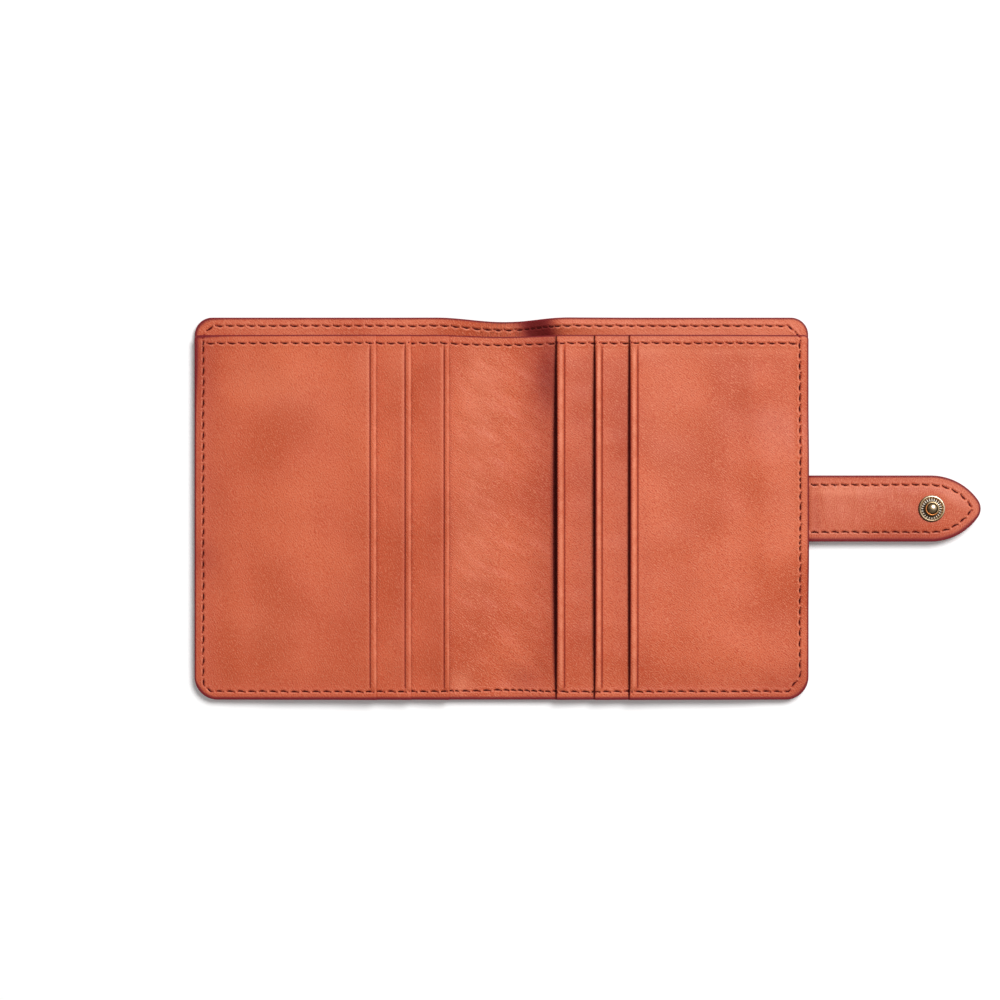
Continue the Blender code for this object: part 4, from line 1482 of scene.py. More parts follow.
        self._lay(
            "shell_lining_cloth", ("shell_lining", "spine_lining"), "lining_cloth",
            self._outline(
                (0, self.reach - self.cloth_inset),
                (-height + self.cloth_inset, plan.facing_bottom - 0.3),
                (plan.bottom_corner, 0.0), RAW_PLY,
            ),
            lambda x, y: low * self._press(y), lined, (self.reach, height + plan.facing_bottom),
            ("outer_leather",), rounding=0.1, spacing=1.6,
        )

    def _facing(self) -> None:
        """The leather band inside the shell's top edge, which shows above the pockets."""
        plan, (low, high) = self.plan, self.facing_room
        pale, shaded = painted_light("facing")

        # Painted shade where the band turns away from the lamp beside the spine on the back, with the
        # painted patches
        def strip_shade(x: Array, y: Array) -> Array:
            slide = x + 0.35 * (y - 47.5)
            window = ease((slide - 1.2) / 7.0) * ease((17.0 - slide) / 6.5)
            return (0.80 * window if self.back else 0.0) + shaded(x, y)

        extra = np.stack(np.meshgrid(
            self.side * np.arange(0.35, 17.0, 0.45), np.arange(44.6, 50.0, 0.5)
        ), -1).reshape(-1, 2)
        self._lay(
            "facing_leather", ("facing", "spine_facing"), "shell_leather",
            self._outline(
                (0, self.reach), (plan.facing_bottom, plan.half_height),
                (0.0, plan.shell_corner), (Edge.RAW, Edge.PAINTED, Edge.PAINTED, Edge.JOINED),
                plan.shell_dip,
            ),
            lambda x, y: low + self._strip_wave(x, y),
            lambda x, y: high + self._strip_wave(x, y) + 0.03 * Ripples(5.0, 1.0, 11)(x, y),
            (self.reach, plan.half_height - plan.facing_bottom + self.facing_turn), ("outer_leather",),
            rounding=0.24, spacing=0.75, top_seams=[self.seams["outer"]], top_points=extra,
            stain=strip_shade, wear=pale,
            pleat=lambda x, y: (
                ease((x + 9.0) / 6.0) * ease((6.5 - x) / 2.0) * ease((y - 44.0) / 2.0)
            ),
            paint_width=lambda x, y: 0.66 + 0.5 * bell(np.hypot(x + 81.0, y - 49.8), 4.5),
        )

    def compartment(self) -> None:
        """The cloth behind the pockets."""
        plan, node = self.plan, "compartment_lining"
        self._lay(
            "compartment_cloth", (node, "spine_" + node), "lining_cloth",
            self._outline(
                (0, self.reach - self.cloth_inset),
                (-plan.half_height + self.cloth_inset, plan.interior_top - 0.2),
                (plan.bottom_corner, plan.interior_corner), RAW_PLY, plan.interior_dip,
            ),
            self._surface(node, 0.0), self._surface(node, self.cloth),
            (self.reach, plan.half_height + plan.interior_top), ("shell_lining_cloth",),
            rounding=0.1, spacing=1.8, under_spacing=1.8,
        )

    def centre(self) -> None:
        """This half of the leather between the pockets."""
        plan, end = self.plan, self.plan.mouths[0] + self.plan.tuck
        ripple = Ripples(9.0, 0.09, 21)
        crease = Ripples(2.6, 0.030, 5, heading=48.0, spread=50.0)

        def rise(d: Array, y: Array) -> Array:
            x = self.side * d
            shown = ease((plan.mouths[0] - 0.5 - d) / 3.0) * within(y, -49.0, 44.5, 4.0)
            return shown * (ripple(x, y) + crease(x, y) - bell(x - 4.0, 7.0) * 0.28)

        pale, dark = painted_light("centre")
        self._lay(
            "centre_leather", ("centre_panel", "spine_centre_panel"), "centre_leather",
            self._outline(
                (0, end), (-plan.half_height, plan.interior_top), (0.0, 0.0),
                (Edge.PAINTED, Edge.RAW, Edge.PAINTED, Edge.JOINED), plan.interior_dip,
            ),
            self._surface("centre_panel", 0.0), self._surface("centre_panel", self.leather, rise),
            (end, plan.half_height + plan.interior_top), ("compartment_cloth",),
            "interior_leather", rounding=0.26, spacing=0.62, top_seams=[*self.seams.values()],
            top_points=self._before_mouth(0), stain=strongest(dark, self._gap_shadow(0, -1.0)),
            wear=strongest(pale, self._top_highlight), paint_width=self._paint_width,
        )

    def _paint_width(self, x: Array, y: Array) -> Array:
        """How far the edge paint runs over the interior leather."""
        low = 0.5 * ease((-45.0 - y) / 3.0) - 0.1 * ease((y - 44.0) / 1.5)
        return 0.62 + low + 0.8 * bell(np.hypot(x + 82.0, (y - 42.0) / 2.2), 5.0)

    def _top_highlight(self, x: Array, y: Array) -> Array:
        """Painted highlight on the interior between its top edge and the stitches there, stronger
        towards the strap's side.
        """
        streak = 0.8 + Ripples(0.9, 0.25, 15, 0.0, 30.0)(x, y)
        return (0.13 + 0.15 * ease((x + 20.0) / 60.0)) * bell(y - 45.1, 0.8) * streak

    def _bow(self, y: Array) -> Array:
        """How far a mouth stands open along its length, from 0 to 1."""
        return np.clip(1 - ((y + 2.4) / 47.0) ** 2, 0, 1) ** 0.7

    def _gap_shadow(self, index: int, way: float) -> Field:
        """Painted shadow beside the gap at a mouth.

        Args:
            index: 0 for the lower pocket, 1 for the middle one, 2 for the upper one.
            way: -1 for the ply under the mouth, 1 for the hem, which turns down into the gap.
        Returns:
            The darkness, from 0 to 1.
        """
        mouth, shade = self.plan.mouths[index], self.style.under if way < 0 else self.style.above
        return lambda x, y: shade(index, way * (self.side * x - mouth), self._bow(y))

    def _pocket_rise(self, index: int) -> tuple[Field, Field, Field]:
        """Shape of a pocket leather: its lifted mouth, its hem and the crease beside it.

        Args:
            index: 0 for the lower pocket, 1 for the middle one, 2 for the upper one.
        Returns:
            The lift of both faces, what the upper face adds, and how dark the crease is: the creaser's
            darker line with painted shade in its groove.
        """
        plan, style, mouth = self.plan, self.style, self.plan.mouths[index]
        width, height = style.hem_widths[index], style.lifts[index]
        ripple = Ripples(11.0, 0.07, 31 + index)

        def ends(y: Array) -> Array:
            return within(y, -48.6, 44.6, 1.4)

        def lift(d: Array, y: Array) -> Array:
            return height * self._bow(y) * np.exp(-np.maximum(d - mouth, 0) / 4.2)

        def face(d: Array, y: Array) -> Array:
            t = d - mouth
            round_share = np.clip(1 - (2 * t / width - 1) ** 2, 0, 1)
            ridge = style.hem_height * np.sqrt(round_share) - 0.2 * bell(t, 0.25)
            groove = 0.16 * bell(t - width, 0.15) - 0.04 * bell(t - width - 0.45, 0.25)
            shown = 1.0 if index == 2 else ease((plan.mouths[index + 1] - d) / 2.0)
            sewn = within(y, -48.0, 43.0, 5.0) * ease((self.reach - 4.0 - d) / 6.0)
            soft = ripple(self.side * d, y) * shown * sewn
            return lift(d, y) + (ridge - groove) * ends(y) + soft

        # The creaser's darker line, with painted shade in its groove
        def crease(x: Array, y: Array) -> Array:
            beside = bell(self.side * x - mouth - width, 0.19)
            return style.crease * beside * ends(y) * ease((44.6 - y) / 3.5)

        return lift, face, crease

    def _wear(self, index: int) -> Field:
        """Painted highlight on a pocket's hem, and on the front on the leather beside it."""
        mouth, width = self.plan.mouths[index], self.style.hem_widths[index]
        place, reach, strength, beside = self.style.hem_sheen

        def painted_highlight(x: Array, y: Array) -> Array:
            t = self.side * x - mouth
            streak = 0.75 + 0.25 * np.sin(y * 0.9 + 3 * np.sin(y * 0.23 + index))
            lip = beside * bell(t - width - 0.42, 0.24) * (0.35 + 0.65 * ease((y + 20.0) / 60.0))
            ridge = strength * bell(t - place * width, reach * width) * streak
            return np.maximum(ridge, lip) * within(y, -49.0, 45.0, 3.0)

        return painted_highlight

    def pocket(self, index: int) -> None:
        """One pocket leather, and its cloth tail if it has one."""
        plan, key, last = self.plan, self.POCKETS[index], index == 2
        mouth, width = plan.mouths[index], self.style.hem_widths[index]
        end = self.reach if last else plan.mouths[index + 1] + plan.tuck
        lift, face, crease = self._pocket_rise(index)
        lines = self._lines(mouth + np.concatenate([
            np.array([0.2, 0.26, 0.34, 0.43, 0.52, 0.62, 0.72, 0.82, 0.92]) * width,
            width + np.array([-0.09, 0.0, 0.09, 0.2, 0.34, 0.5]),
        ]), 0.4)
        pale, dark = painted_light(f"{self.word}_{key}")
        shades = [dark, crease, self._gap_shadow(index, 1.0)]
        if not last:
            lines = np.concatenate([lines, self._before_mouth(index + 1)])
            shades.append(self._gap_shadow(index + 1, -1.0))
        self._lay(
            key + "_pocket_leather", [key + "_pocket"], self.style.look,
            self._outline(
                (mouth, end), (-plan.half_height, plan.interior_top),
                (plan.bottom_corner, plan.interior_corner) if last else (0.0, 0.0),
                (Edge.PAINTED, Edge.PAINTED if last else Edge.RAW, Edge.PAINTED, Edge.RAW),
                plan.interior_dip,
            ),
            self._surface(key + "_pocket", 0.0, lift),
            self._surface(key + "_pocket", self.leather, face),
            (end - mouth + width, plan.half_height + plan.interior_top),
            [("centre", "lower_pocket", "middle_pocket")[index] + "_leather"],
            "interior_leather", rounding=0.32, spacing=0.8, top_seams=[*self.seams.values()],
            top_points=lines, stain=strongest(*shades),
            wear=strongest(pale, self._wear(index), self._top_highlight),
            paint_width=self._paint_width,
        )
        if not last:
            self._tail(key, end, mouth)

    def _lines(self, places: Array, step: float) -> Array:
        """Points along lines at some distances from the fold."""
        grid = np.meshgrid(self.side * places, np.arange(-47.6, 43.4, step))
        return np.stack(grid, -1).reshape(-1, 2)

    def _before_mouth(self, index: int) -> Array:
        """Points that a ply needs to show the painted shadow in front of a mouth."""
        offsets = (-2.6, -2.0, -1.55, -1.25, -1.0, -0.8, -0.6, -0.4, -0.2, 0.05)
        if index:
            offsets = (-1.3, -0.95, -0.7, -0.52, -0.4, -0.3, -0.2, -0.1, 0.05)
        return self._lines(self.plan.mouths[index] + np.array(offsets), 0.5)

    def _tail(self, key: str, start: float, mouth: float) -> None:
        """The cloth that carries a pocket down to its depth."""
        plan, node, margin = self.plan, key + "_pocket_tail", self.tail_margin
        end = min(mouth + self.pocket_depth, self.reach - 3.0)
        self._lay(
            key + "_pocket_cloth", [node], "tail_cloth",
            self._outline(
                (start + 0.3, end), (margin - plan.half_height, plan.interior_top - margin),
                (0.0, 0.0), (Edge.RAW,) * 4,
            ),
            self._surface(node, 0.0), self._surface(node, self.cloth),
            (end - start, plan.half_height + plan.interior_top - 2 * margin),
            [key + "_pocket_leather"], rounding=0.08, spacing=2.4,
        )

    # Stitches

    def _top_height(self, places: Array, seam: str) -> Array:
        """Height of the leather that a row lies on, on the side of the pockets."""
        x, y = places.T
        z = self._surface("centre_panel", self.leather)(x, y)
        for index, key in enumerate(self.POCKETS):
            _lift, face, _crease = self._pocket_rise(index)
            over = self._surface(key + "_pocket", self.leather, face)(x, y)
            z = np.where(self.side * x > self.plan.mouths[index], over, z)
        if seam == "outer":
            on_facing = self.facing_room[1] + self._strip_wave(x, y)
            z = np.where(y > self.plan.interior_top - 0.3, on_facing, z)
        return z

    def sew(self) -> None:
        """The half's rows of stitches, on both faces."""
        rows = (
            ("outer", "outer_stitches", 1.0, 3), ("inner", "pocket_stitches", 1.0, 4),
            ("outer", "shell_stitches", -1.0, 5),
        )
        for key, name, up, seed in rows:
            places, _ways = self.seams[key].stations()
            if up > 0:
                height = self._top_height(places, key) - self.thread_height
            else:
                height = self._strip_wave(*places.T) + self.thread_height
            points = np.concatenate([places, height[:, None]], 1)
            row = self.stitch.sew(
                f"{self.word}_{name}", points, up, seed, self.looks["stitch_thread"]
            )
            self._fold(row)
            log.info("%s, %d stitches", row.name, len(places))

    def build(self) -> None:
        """Make the whole half."""
        self.shell()
        self.compartment()
        self.centre()
        for index in range(3):
            self.pocket(index)
        self.sew()


# The strap

@dataclass
class StrapBuilder:
    """The strap: two plies sewn round the edge, from its root in the seam to its tip."""

    plan: Plan
    looks: Looks
    stitch: StitchTree
    root: float = 69.2
    seam_edge: float = 81.2
    split: float = 88.275
    shoulder: float = 113.6
    tip: float = 126.9
    tip_radius: float = 4.0
    seam_inset: float = 2.45
    under_face: float = 1.55
    inner_face: float = 3.45
    middle: float = 2.52
    edge_bend: Pair = (81.0, 83.6)
    top_bend: Pair = (92.5, 96.0)
    root_under: float = 1.80
    root_top: float = 3.10
    thread_height: float = 0.09
    thread_radius: float = 0.15
    end_share: float = 0.86
    stud_rings: tuple[float, ...] = (3.2, 3.6, 4.0, 4.4, 4.9, 5.4)

    def __post_init__(self) -> None:
        """Work out the arcs of the tip and the seam."""
        half = self.plan.strap_half
        run = self.tip - self.shoulder - self.tip_radius
        small = self.tip_radius
        self.side = (run ** 2 + half ** 2 - small ** 2) / (2 * (half - small))
        self.turn = math.atan2(run, self.side - half)
        self.whole = self._whole_outline()
        self.seam = self._seam()

    def _whole_outline(self) -> Outline:
        """The strap from its root to its tip."""
        half, side, quarter = self.plan.strap_half, self.side, math.pi / 2
        line = np.arange(self.root, self.shoulder - 0.3, EDGE_STEP)
        start, nose = self.turn - quarter + 0.12, (self.tip - self.tip_radius, 0.0)
        places = np.array([
            *((x, -half) for x in line),
            *arc((self.shoulder, side - half), side, np.linspace(-quarter, self.turn - quarter, 24)),
            *arc(nose, self.tip_radius, np.linspace(start, quarter - self.turn - 0.12, 14)),
            *arc((self.shoulder, half - side), side, np.linspace(quarter - self.turn, quarter, 24)),
            *((x, half) for x in line[::-1]),
            *((self.root, y) for y in np.arange(half - EDGE_STEP, -half + 0.3, -EDGE_STEP)),
        ])
        kinds = np.where(places[:, 0] > self.root + 0.1, Edge.PAINTED.value, Edge.RAW.value)
        return Outline(places, kinds)

    def _seam(self) -> Seam:
        """The row of stitches round the strap."""
        inset = self.seam_inset
        y = self.plan.strap_half - inset
        radius = self.side - inset
        low = self.side - self.plan.strap_half
        end = math.asin(low / radius)
        upper = np.array([
            *((x, y) for x in np.linspace(self.seam_edge + 0.2, self.shoulder, 20)),
            *arc((self.shoulder, -low), radius, np.linspace(math.pi / 2, end, 24)[1:]),
        ])
        path = np.concatenate([upper, (upper * [1, -1])[::-1][1:]])
        return Seam(path, pitch=2.68, dash=1.75, valley=0.2, pit=0.3)

    def _part(self, low: float, high: float) -> Outline:
        """The part of the strap between two distances from the fold."""
        half = self.plan.strap_half
        if high > self.tip:
            kept = self.whole.points[self.whole.points[:, 0] > low + 0.05]
            start = int(np.argmin(np.abs(kept[:, 0] - low) + np.where(kept[:, 1] < 0, 0, 1e3)))
            kept = np.roll(kept, -start, axis=0)
            ends = np.concatenate([EDGE_INSETS, np.arange(1.6, 2 * half - 1.2, EDGE_STEP)])
            ends = np.unique(np.concatenate([ends, 2 * half - np.array(EDGE_INSETS), [0, 2 * half]]))
            joint = np.array([(low, half - y) for y in ends])
            points = np.concatenate([joint, kept])
            kinds = np.full(len(points), Edge.PAINTED.value)
            kinds[: len(joint) - 1] = Edge.JOINED.value
            return Outline(points, kinds)
        return Outline.rounded([
            (low, -half, 0.0, Edge.PAINTED), (high, -half, 0.0, Edge.JOINED),
            (high, half, 0.0, Edge.PAINTED), (low, half, 0.0, Edge.RAW),
        ])

    def _cushion(self, x: Array, y: Array) -> Array:
        """How far the field inside the seam swells, from 0 to 1."""
        plan = np.stack([np.ravel(x), np.ravel(y)], 1)
        gap = self.whole.distance(plan, False).reshape(np.shape(x))
        inside = gap - self.seam_inset
        return np.where(inside > 0, 1 - np.exp(-inside / 1.5), 0) * ease((x - 82.6) / 3.0)

    def _thin(self, x: Array) -> Array:
        """From 0 on the thinned root to 1 on the full strap."""
        return ease((x - (self.seam_edge - 0.5)) / 1.3)

    def inner_top(self, x: Array, y: Array) -> Array:
        """Upper face of the lining, which is the strap's inner face."""
        away = np.hypot(x - STUD_X, y)
        seat, near_bend = ease((5.0 - away) / 1.8), ease((94.5 - x) / 3.0)
        swell = (0.42 - 0.18 * near_bend) * self._cushion(x, y) * (1 - seat) + 0.31 * seat
        soft = Ripples(7.0, 0.05, 41)(x, y) + Ripples(2.2, 0.030, 42, 4.0, 25.0)(x, y)
        soft = soft * self._cushion(x, y) * ease((away - 3.6) / 1.5) * (1 - 0.4 * near_bend)
        full = self.inner_face - self.root_top + swell + soft
        return self.root_top + full * self._thin(x)

    def outer_face(self, x: Array, y: Array) -> Array:
        """Lower face of the outer ply, which is the strap's outer face."""
        away = np.hypot(x - STUD_X, y)
        swell = 0.24 * self._cushion(x, y) * (1 - ease((6.2 - away) / 1.6))
        return self.root_under + (self.under_face - self.root_under - swell) * self._thin(x)

    def _between(self, gap: float) -> Field:
        """The face between the two plies, with half a gap."""
        return lambda x, y: np.full(np.shape(x), self.middle + gap)

    def build(self) -> None:
        """Make the strap's plies and their stitches."""
        strap = self.looks["strap_leather"]
        spans = (
            ("root", self.root, self.split, ("back_half", "strap_wrap"), self.edge_bend,
             ["strap_tongue", "strap_wrap_outer"], ["strap_wrap_lining"]),
            ("end", self.split, self.tip + 1, ("strap_wrap", "strap_tab"), self.top_bend,
             ["strap_tab_outer"], ["strap_tab_lining"]),
        )
        pale, dark = painted_light("strap")
        for word, low, high, bodies, across, outer_nodes, lining_nodes in spans:
            outline = self._part(low, high)
            outer = Sheet(
                "strap_" + word + "_outer_leather", outline, self.outer_face,
                self._between(-0.02), strap, rounding=0.36, spacing=2.0, under_spacing=0.8,
                under_seams=[self.seam],
            ).build()
            lining = Sheet(
                "strap_" + word + "_lining_leather", outline, self._between(0.02),
                self.inner_top, strap, rounding=0.32, spacing=0.6, under_spacing=2.0,
                top_seams=[self.seam], top_points=circles(STUD_X, self.stud_rings, 48),
                stain=dark, wear=pale, paint_width=lambda x, y: 0.75 + 0.5 * ease(-y / 5.0),
            ).build()
            for item, nodes, below in ((outer, outer_nodes, []), (lining, lining_nodes, [outer.name])):
                bend(item)
                declare(item, nodes)
        self._sew()

    def _sew(self) -> None:
        """Rows of stitches on both faces, cut where the strap's pieces meet."""
        places, _ways = self.seam.stations()
        x, y = places.T
        faces = (
            ("inner", 1.0, self.inner_top(x, y) - self.thread_height),
            ("outer", -1.0, self.outer_face(x, y) + self.thread_height),
        )
        parts = (
            ("root", x < self.split, ("back_half", "strap_wrap"), self.edge_bend),
            ("end", x >= self.split, ("strap_wrap", "strap_tab"), self.top_bend),
        )
        for face, up, height in faces:
            points = np.concatenate([places, height[:, None]], 1)
            for word, chosen, bodies, across in parts:
                runs = np.split(points[chosen], np.where(np.diff(np.where(chosen)[0]) > 1)[0] + 1)
                for number, run in enumerate(runs):
                    row = self.stitch.sew(
                        f"strap_{word}_{face}_stitches_{number}", run, up, 7 + number,
                        self.looks["stitch_thread"], Dash=self.seam.dash,
                        Radius=self.thread_radius,
                    )
                    bend(row)
                log.info("strap_%s_%s_stitches, %d stitches", word, face, chosen.sum())


# The snap

def turned(
    name: str, profile: Profile, steps: int, x: float, base: float, material: Material,
    closed: bool = True, ribs: Optional[Turning] = None, **marks: Turning,
) -> Item:
    """Turn a profile about a vertical axis.

    Args:
        name: the new object's name.
        profile: radius and height of each point, in millimetres.
        steps: how many steps make a turn.
        x: where the axis crosses the X axis.
        base: height that the profile's heights count from.
        material: its material.
        closed: whether the profile comes back to its start; otherwise it ends on the axis.
        ribs: height that a point gets at each angle, from its radius, height and the angles.
        marks: values of a point at each angle, by the names that the materials read.
    Returns:
        The object.
    """
    angles = np.arange(steps) * 2 * math.pi / steps
    points, rows = [], []
    values = {key: [] for key in marks}
    for radius, height in profile:
        rows.append(len(points))
        around = angles[:1] if radius < 1e-6 else angles
        for key, mark in marks.items():
            values[key].extend(mark(radius, height, around))
        lift = ribs(radius, height, around) if ribs else np.zeros(len(around))
        points.extend(np.stack([
            x + radius * np.cos(around), radius * np.sin(around), base + height + lift,
        ], 1))
    pairs = list(zip(range(len(profile)), range(1, len(profile))))
    if closed:
        pairs.append((len(profile) - 1, 0))

    def ends(index: int, *turn: int) -> list[int]:
        on_axis = profile[index][0] < 1e-6
        return [rows[index]] if on_axis else [rows[index] + step for step in turn]

    faces = []
    for low, high in pairs:
        for step in range(steps):
            after = (step + 1) % steps
            faces.append(ends(low, step, after) + ends(high, after, step))
    item = mesh_object(name, np.array(points), faces, material, crease=40.0)
    shape = bmesh.new()
    shape.from_mesh(item.data)
    bmesh.ops.recalc_face_normals(shape, faces=shape.faces[:])
    shape.to_mesh(item.data)
    shape.free()
    for key, numbers in values.items():
        give(item, key, np.array(numbers))
    return item


@dataclass
class SnapBuilder:
    """The press snap: stud and cap on the strap, socket and eyelet on the front."""

    looks: Looks
    stud_base: float = 3.45
    cap_base: float = 1.55
    flutes: int = 24
    flute_depth: float = 0.11
    post_radius: float = 1.39
    # Heading of the lamp, which the snap's painted shade, highlights and reflection follow
    lit: float = math.radians(50.0)

    def build(self) -> None:
        """Make the pieces of the snap."""
        self._stud()
        self._cap()
        self._socket()
        self._eyelet()
        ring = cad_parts["socket_spring"]
        ring.data.materials.clear()
        ring.data.materials.append(self.looks["spring_steel"])

    def _turn(
        self, node: str, body: str, profile: Profile, steps: int, x: float, base: float,
        **rest: Any,
    ) -> None:
        """Turn a piece in gilt brass, attach it to the body it moves with, and hide the node that it
        stands for.
        """
        gilt = self.looks["gilt_brass"]
        item = turned(node + "_gilt", profile, steps, x, base, gilt, **rest)
        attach(item, body)
        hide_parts(node)
        log.info("%s, %d vertices", item.name, len(item.data.vertices))

    def _stud(self) -> None:
        """The stud: a rolled rim, a fluted cone and a round knob with an open top."""
        profile = [
            (1.1, 0.30), (3.50, 0.30), (3.57, 0.36), (3.56, 0.44), (3.48, 0.48), (3.46, 0.56),
            (3.50, 0.62), *bead((3.18, 0.68), 0.31, -10, 175, 14), (2.84, 0.60), (2.70, 0.62),
            (2.5, 0.74), (2.3, 0.86), (2.1, 0.97), (1.95, 1.02), (1.82, 1.05), (1.72, 1.12),
            (1.67, 1.25), (1.69, 1.42), (1.76, 1.58), *bead((1.63, 1.80), 0.19, -20, 150, 10),
            (1.44, 1.84), (1.43, 1.7), (1.42, 1.5), (1.1, 1.4),
        ]
        count = self.flutes

        def on_cone(radius: float, height: float) -> float:
            return float(1.92 < radius < 2.75 and 0.6 < height < 1.04)

        def away(angles: Array) -> Array:
            return 0.5 - 0.5 * np.cos(angles - self.lit)

        def ribs(radius: float, height: float, angles: Array) -> Array:
            wave = np.cos(angles * count)
            return self.flute_depth * on_cone(radius, height) * (np.abs(wave) ** 0.7 * np.sign(wave))

        # Tarnish in the flute grooves and the hollows, and painted shade: a painted shadow at the
        # knob's foot and the side away from the lamp darker
        def dark(radius: float, height: float, angles: Array) -> Array:
            turn = away(angles)
            groove = on_cone(radius, height) * ease((0.1 - np.cos(angles * count)) / 0.6)
            foot = float(1.6 < radius < 2.5 and height < 1.35)
            foot = foot * ease((turn * 0.9 + 1.75 - radius) / 0.25)
            well = float(radius < 1.46 and height > 1.35) * 0.95
            side = float(radius > 3.30) * ease(turn / 0.75)
            step = float(3.44 < radius < 3.495 and height < 0.6) * 0.95
            shaded = 0.15 + 0.42 * ease(turn / 0.9) * float(radius < 3.3)
            return np.maximum.reduce([groove, foot, side, shaded, 0 * turn + max(well, step)])

        # Painted highlights on the flute crests, the rim and the rim's inner slope, following the lamp
        def painted_highlight(radius: float, height: float, angles: Array) -> Array:
            facing = 0.5 + 0.5 * np.cos(angles - self.lit)
            crest = on_cone(radius, height) * ease((np.cos(angles * count) + 0.1) / 0.5)
            crest = crest * ease((radius - 1.85 - 0.5 * (1 - facing)) / 0.2)
            rim = float(3.2 < radius < 3.46 and height > 0.8) * ease((facing - 0.5) / 0.45)
            inner = 0.4 * float(2.9 < radius < 3.05 and height > 0.7) * ease((0.45 - facing) / 0.3)
            return np.maximum.reduce([crest, rim * 0.5, inner])

        # Painted reflection of the orange leather on the knob's ring and on a band of the cone
        def leather_reflection(radius: float, height: float, angles: Array) -> Array:
            turn = away(angles)
            ring = float(1.55 < radius < 1.9 and height > 1.3) * ease((turn - 0.3) / 0.4)
            return np.maximum(ring, 0.5 * float(2.72 < radius < 2.95) * (1 - turn))

        # The painted reflection travels under the name paint
        self._turn(
            "snap_stud", "strap_tab", profile, count * 8, STUD_X, self.stud_base, ribs=ribs,
            stain=dark, wear=painted_highlight, paint=leather_reflection,
        )

    def _cap(self) -> None:
        """The domed cap on the strap's outer face, and the post that holds the stud."""
        dome = [
            (5.0 * math.sin(turn), -0.72 - 0.58 * math.cos(turn))
            for turn in np.radians(np.linspace(0, 78, 16))
        ]
        head = [
            (self.post_radius * math.cos(turn), 3.42 + 0.64 * math.sin(turn))
            for turn in np.radians(np.linspace(8, 84, 11))
        ]
        profile = [
            *dome[:-1], *bead((4.86, -0.42), 0.17, -62, 90, 8), (4.5, -0.2), (0.8, -0.1),
            (0.8, 3.0), (1.36, 3.02), (self.post_radius, 3.35), *head, (0.0, 4.06),
        ]

        # Painted highlight on the dome towards the lamp, and painted shade over the rest of the head
        def lit(radius: float, height: float, angles: Array) -> Array:
            toward = radius * np.cos(angles - self.lit) / self.post_radius - 0.45
            aside = radius * np.sin(angles - self.lit) / self.post_radius
            return float(height > 3.3) * np.exp(-(toward ** 2 + aside ** 2) / 0.28)

        def dark(radius: float, height: float, angles: Array) -> Array:
            shade = 0.88 * (1 - lit(radius, height, angles)) + 0.3 * float(radius > 1.3)
            return float(height > 3.3) * np.minimum(shade, 1.0)

        self._turn(
            "snap_cap", "strap_tab", profile, 96, STUD_X, self.cap_base, closed=False,
            stain=dark, wear=lambda *at: 0.3 * lit(*at) ** 2,
        )

    def _socket(self) -> None:
        """The socket in the front's outer leather, open downwards for the stud."""
        profile = [
            (1.5, 0.30), (3.35, 0.30), (3.42, 0.2), (3.44, -0.85), (3.36, -0.95), (2.62, -0.95),
            (2.46, -1.0), (2.40, -1.08), (2.46, -1.17), (2.6, -1.2), (3.2, -1.2),
            *bead((3.72, -0.92), 0.28, -90, 0, 8), (4.0, 0.45), (3.9, 0.58), (3.7, 0.6),
            (1.5, 0.6),
        ]

        # Darker inside the socket's hollow
        def dark(radius: float, height: float, angles: Array) -> Array:
            return np.full(len(angles), 0.85 * float(radius < 3.5 and -0.99 < height < 0.31))

        self._turn("snap_socket", "front_half", profile, 128, SOCKET_X, 0.0, stain=dark)

    def _eyelet(self) -> None:
        """The eyelet that holds the socket, with its flange inside the leather."""
        profile = [
            (0.62, 0.12), (0.78, 0.02), (1.0, 0.0), (1.16, 0.1), (1.2, 0.3), (1.2, 1.5),
            (3.2, 1.54), *bead((3.26, 1.67), 0.14, -80, 80, 7), (2.6, 1.82), (1.4, 1.86),
            (0.9, 1.80), (0.66, 1.66), (0.6, 1.4),
        ]
        self._turn("socket_eyelet", "front_half", profile, 96, SOCKET_X, 0.0)


# The studio

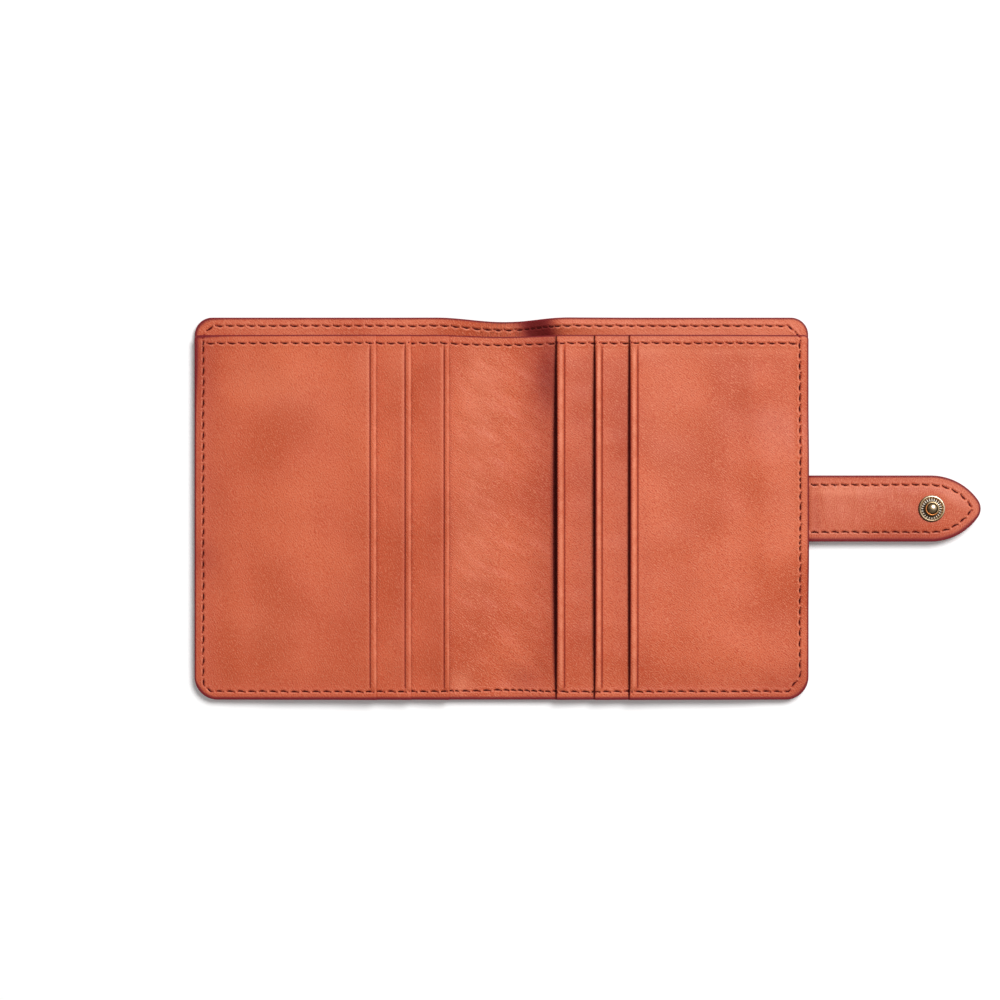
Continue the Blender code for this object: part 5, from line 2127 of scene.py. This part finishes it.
@dataclass
class Studio:
    """White floor, lamps and camera."""

    floor_height: float = -0.04
    floor_size: float = 6000.0
    camera_place: Triple = (-0.8, 2.28, 900.0)
    view_width: float = 265.4
    view_height: float = 4.0
    key_power: float = 32.7
    key_size: float = 900.0
    key_place: Triple = (610.0, 740.0, 1650.0)
    fill: float = 0.27
    floor_glow: float = 0.10

    def build(self) -> None:
        """Make the studio."""
        self._floor()
        self._world()
        self._key()
        self._camera()
        bpy.context.scene.view_settings.view_transform = "Standard"

    @staticmethod
    def _seen(graph: Graph) -> Flow:
        """1 where the camera looks, straight or by way of metal, and 0 for other rays."""
        ray = graph.node("ShaderNodeLightPath").outputs
        first, *others = (
            Flow(graph, ray[f"Is {kind} Ray"]) for kind in ("Camera", "Glossy", "Transmission")
        )
        return sum(others, first).clamp()

    def _floor(self) -> None:
        """A plain white floor that keeps the wallet's shadow."""
        half = self.floor_size / 2
        z = self.floor_height
        corners = np.array([(-half, -half, z), (half, -half, z), (half, half, z), (-half, half, z)])
        material = bpy.data.materials.new("floor")
        material.use_nodes = True
        tree = material.node_tree
        tree.nodes.remove(tree.nodes["Principled BSDF"])
        graph = Graph(tree)
        out = tree.nodes["Material Output"]
        seen = self._seen(graph)
        white = (1.0, 1.0, 1.0, 1.0)
        matt = graph.flow("ShaderNodeBsdfDiffuse", sockets={"Color": white})
        glow = graph.flow("ShaderNodeEmission", sockets={
            "Color": white, "Strength": seen * self.floor_glow,
        })
        both = graph.flow("ShaderNodeAddShader", sockets={0: matt, 1: glow})
        tree.links.new(both.socket, out.inputs["Surface"])
        floor = mesh_object("floor", corners, [(0, 1, 2, 3)], material)

    def _world(self) -> None:
        """Soft light from all round, white to the camera."""
        world = bpy.data.worlds.new("studio")
        world.use_nodes = True
        bpy.context.scene.world = world
        graph = Graph(world.node_tree)
        strength = self.fill + self._seen(graph) * (1.0 - self.fill)
        back = world.node_tree.nodes["Background"]
        back.inputs["Color"].default_value = (1.0, 1.0, 1.0, 1.0)
        world.node_tree.links.new(strength.socket, back.inputs["Strength"])

    def _key(self) -> None:
        """The big soft lamp, up and to the right of the picture."""
        lamp = bpy.data.lights.new("key", "AREA")
        lamp.shape = "DISK"
        lamp.size = self.key_size * MM
        lamp.energy = self.key_power
        item = bpy.data.objects.new("key", lamp)
        item.location = Vector(self.key_place) * MM
        item.rotation_euler = (-item.location).to_track_quat("-Z", "Y").to_euler()
        bpy.context.scene.collection.objects.link(item)

    def _camera(self) -> None:
        """The camera, looking straight down."""
        camera = bpy.data.cameras.new("camera")
        camera.sensor_width = 36.0
        reach = self.camera_place[2] - self.view_height
        camera.lens = camera.sensor_width * reach / self.view_width
        camera.clip_start, camera.clip_end = 0.01, 20.0
        item = bpy.data.objects.new("camera", camera)
        item.location = Vector(self.camera_place) * MM
        bpy.context.scene.collection.objects.link(item)
        bpy.context.scene.camera = item


def main() -> None:
    """Build the wallet, one sub-assembly after another."""
    logging.basicConfig(level=logging.INFO, format="%(name)s: %(message)s")
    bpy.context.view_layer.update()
    looks = {finish.name: finish.material() for finish in FINISHES}
    plan, stitch = Plan(), StitchTree()
    for half in Half:
        HalfBuilder(half, plan, looks, stitch).build()
    StrapBuilder(plan, looks, stitch).build()
    SnapBuilder(looks).build()
    Studio().build()


if __name__ == "__main__":
    main()
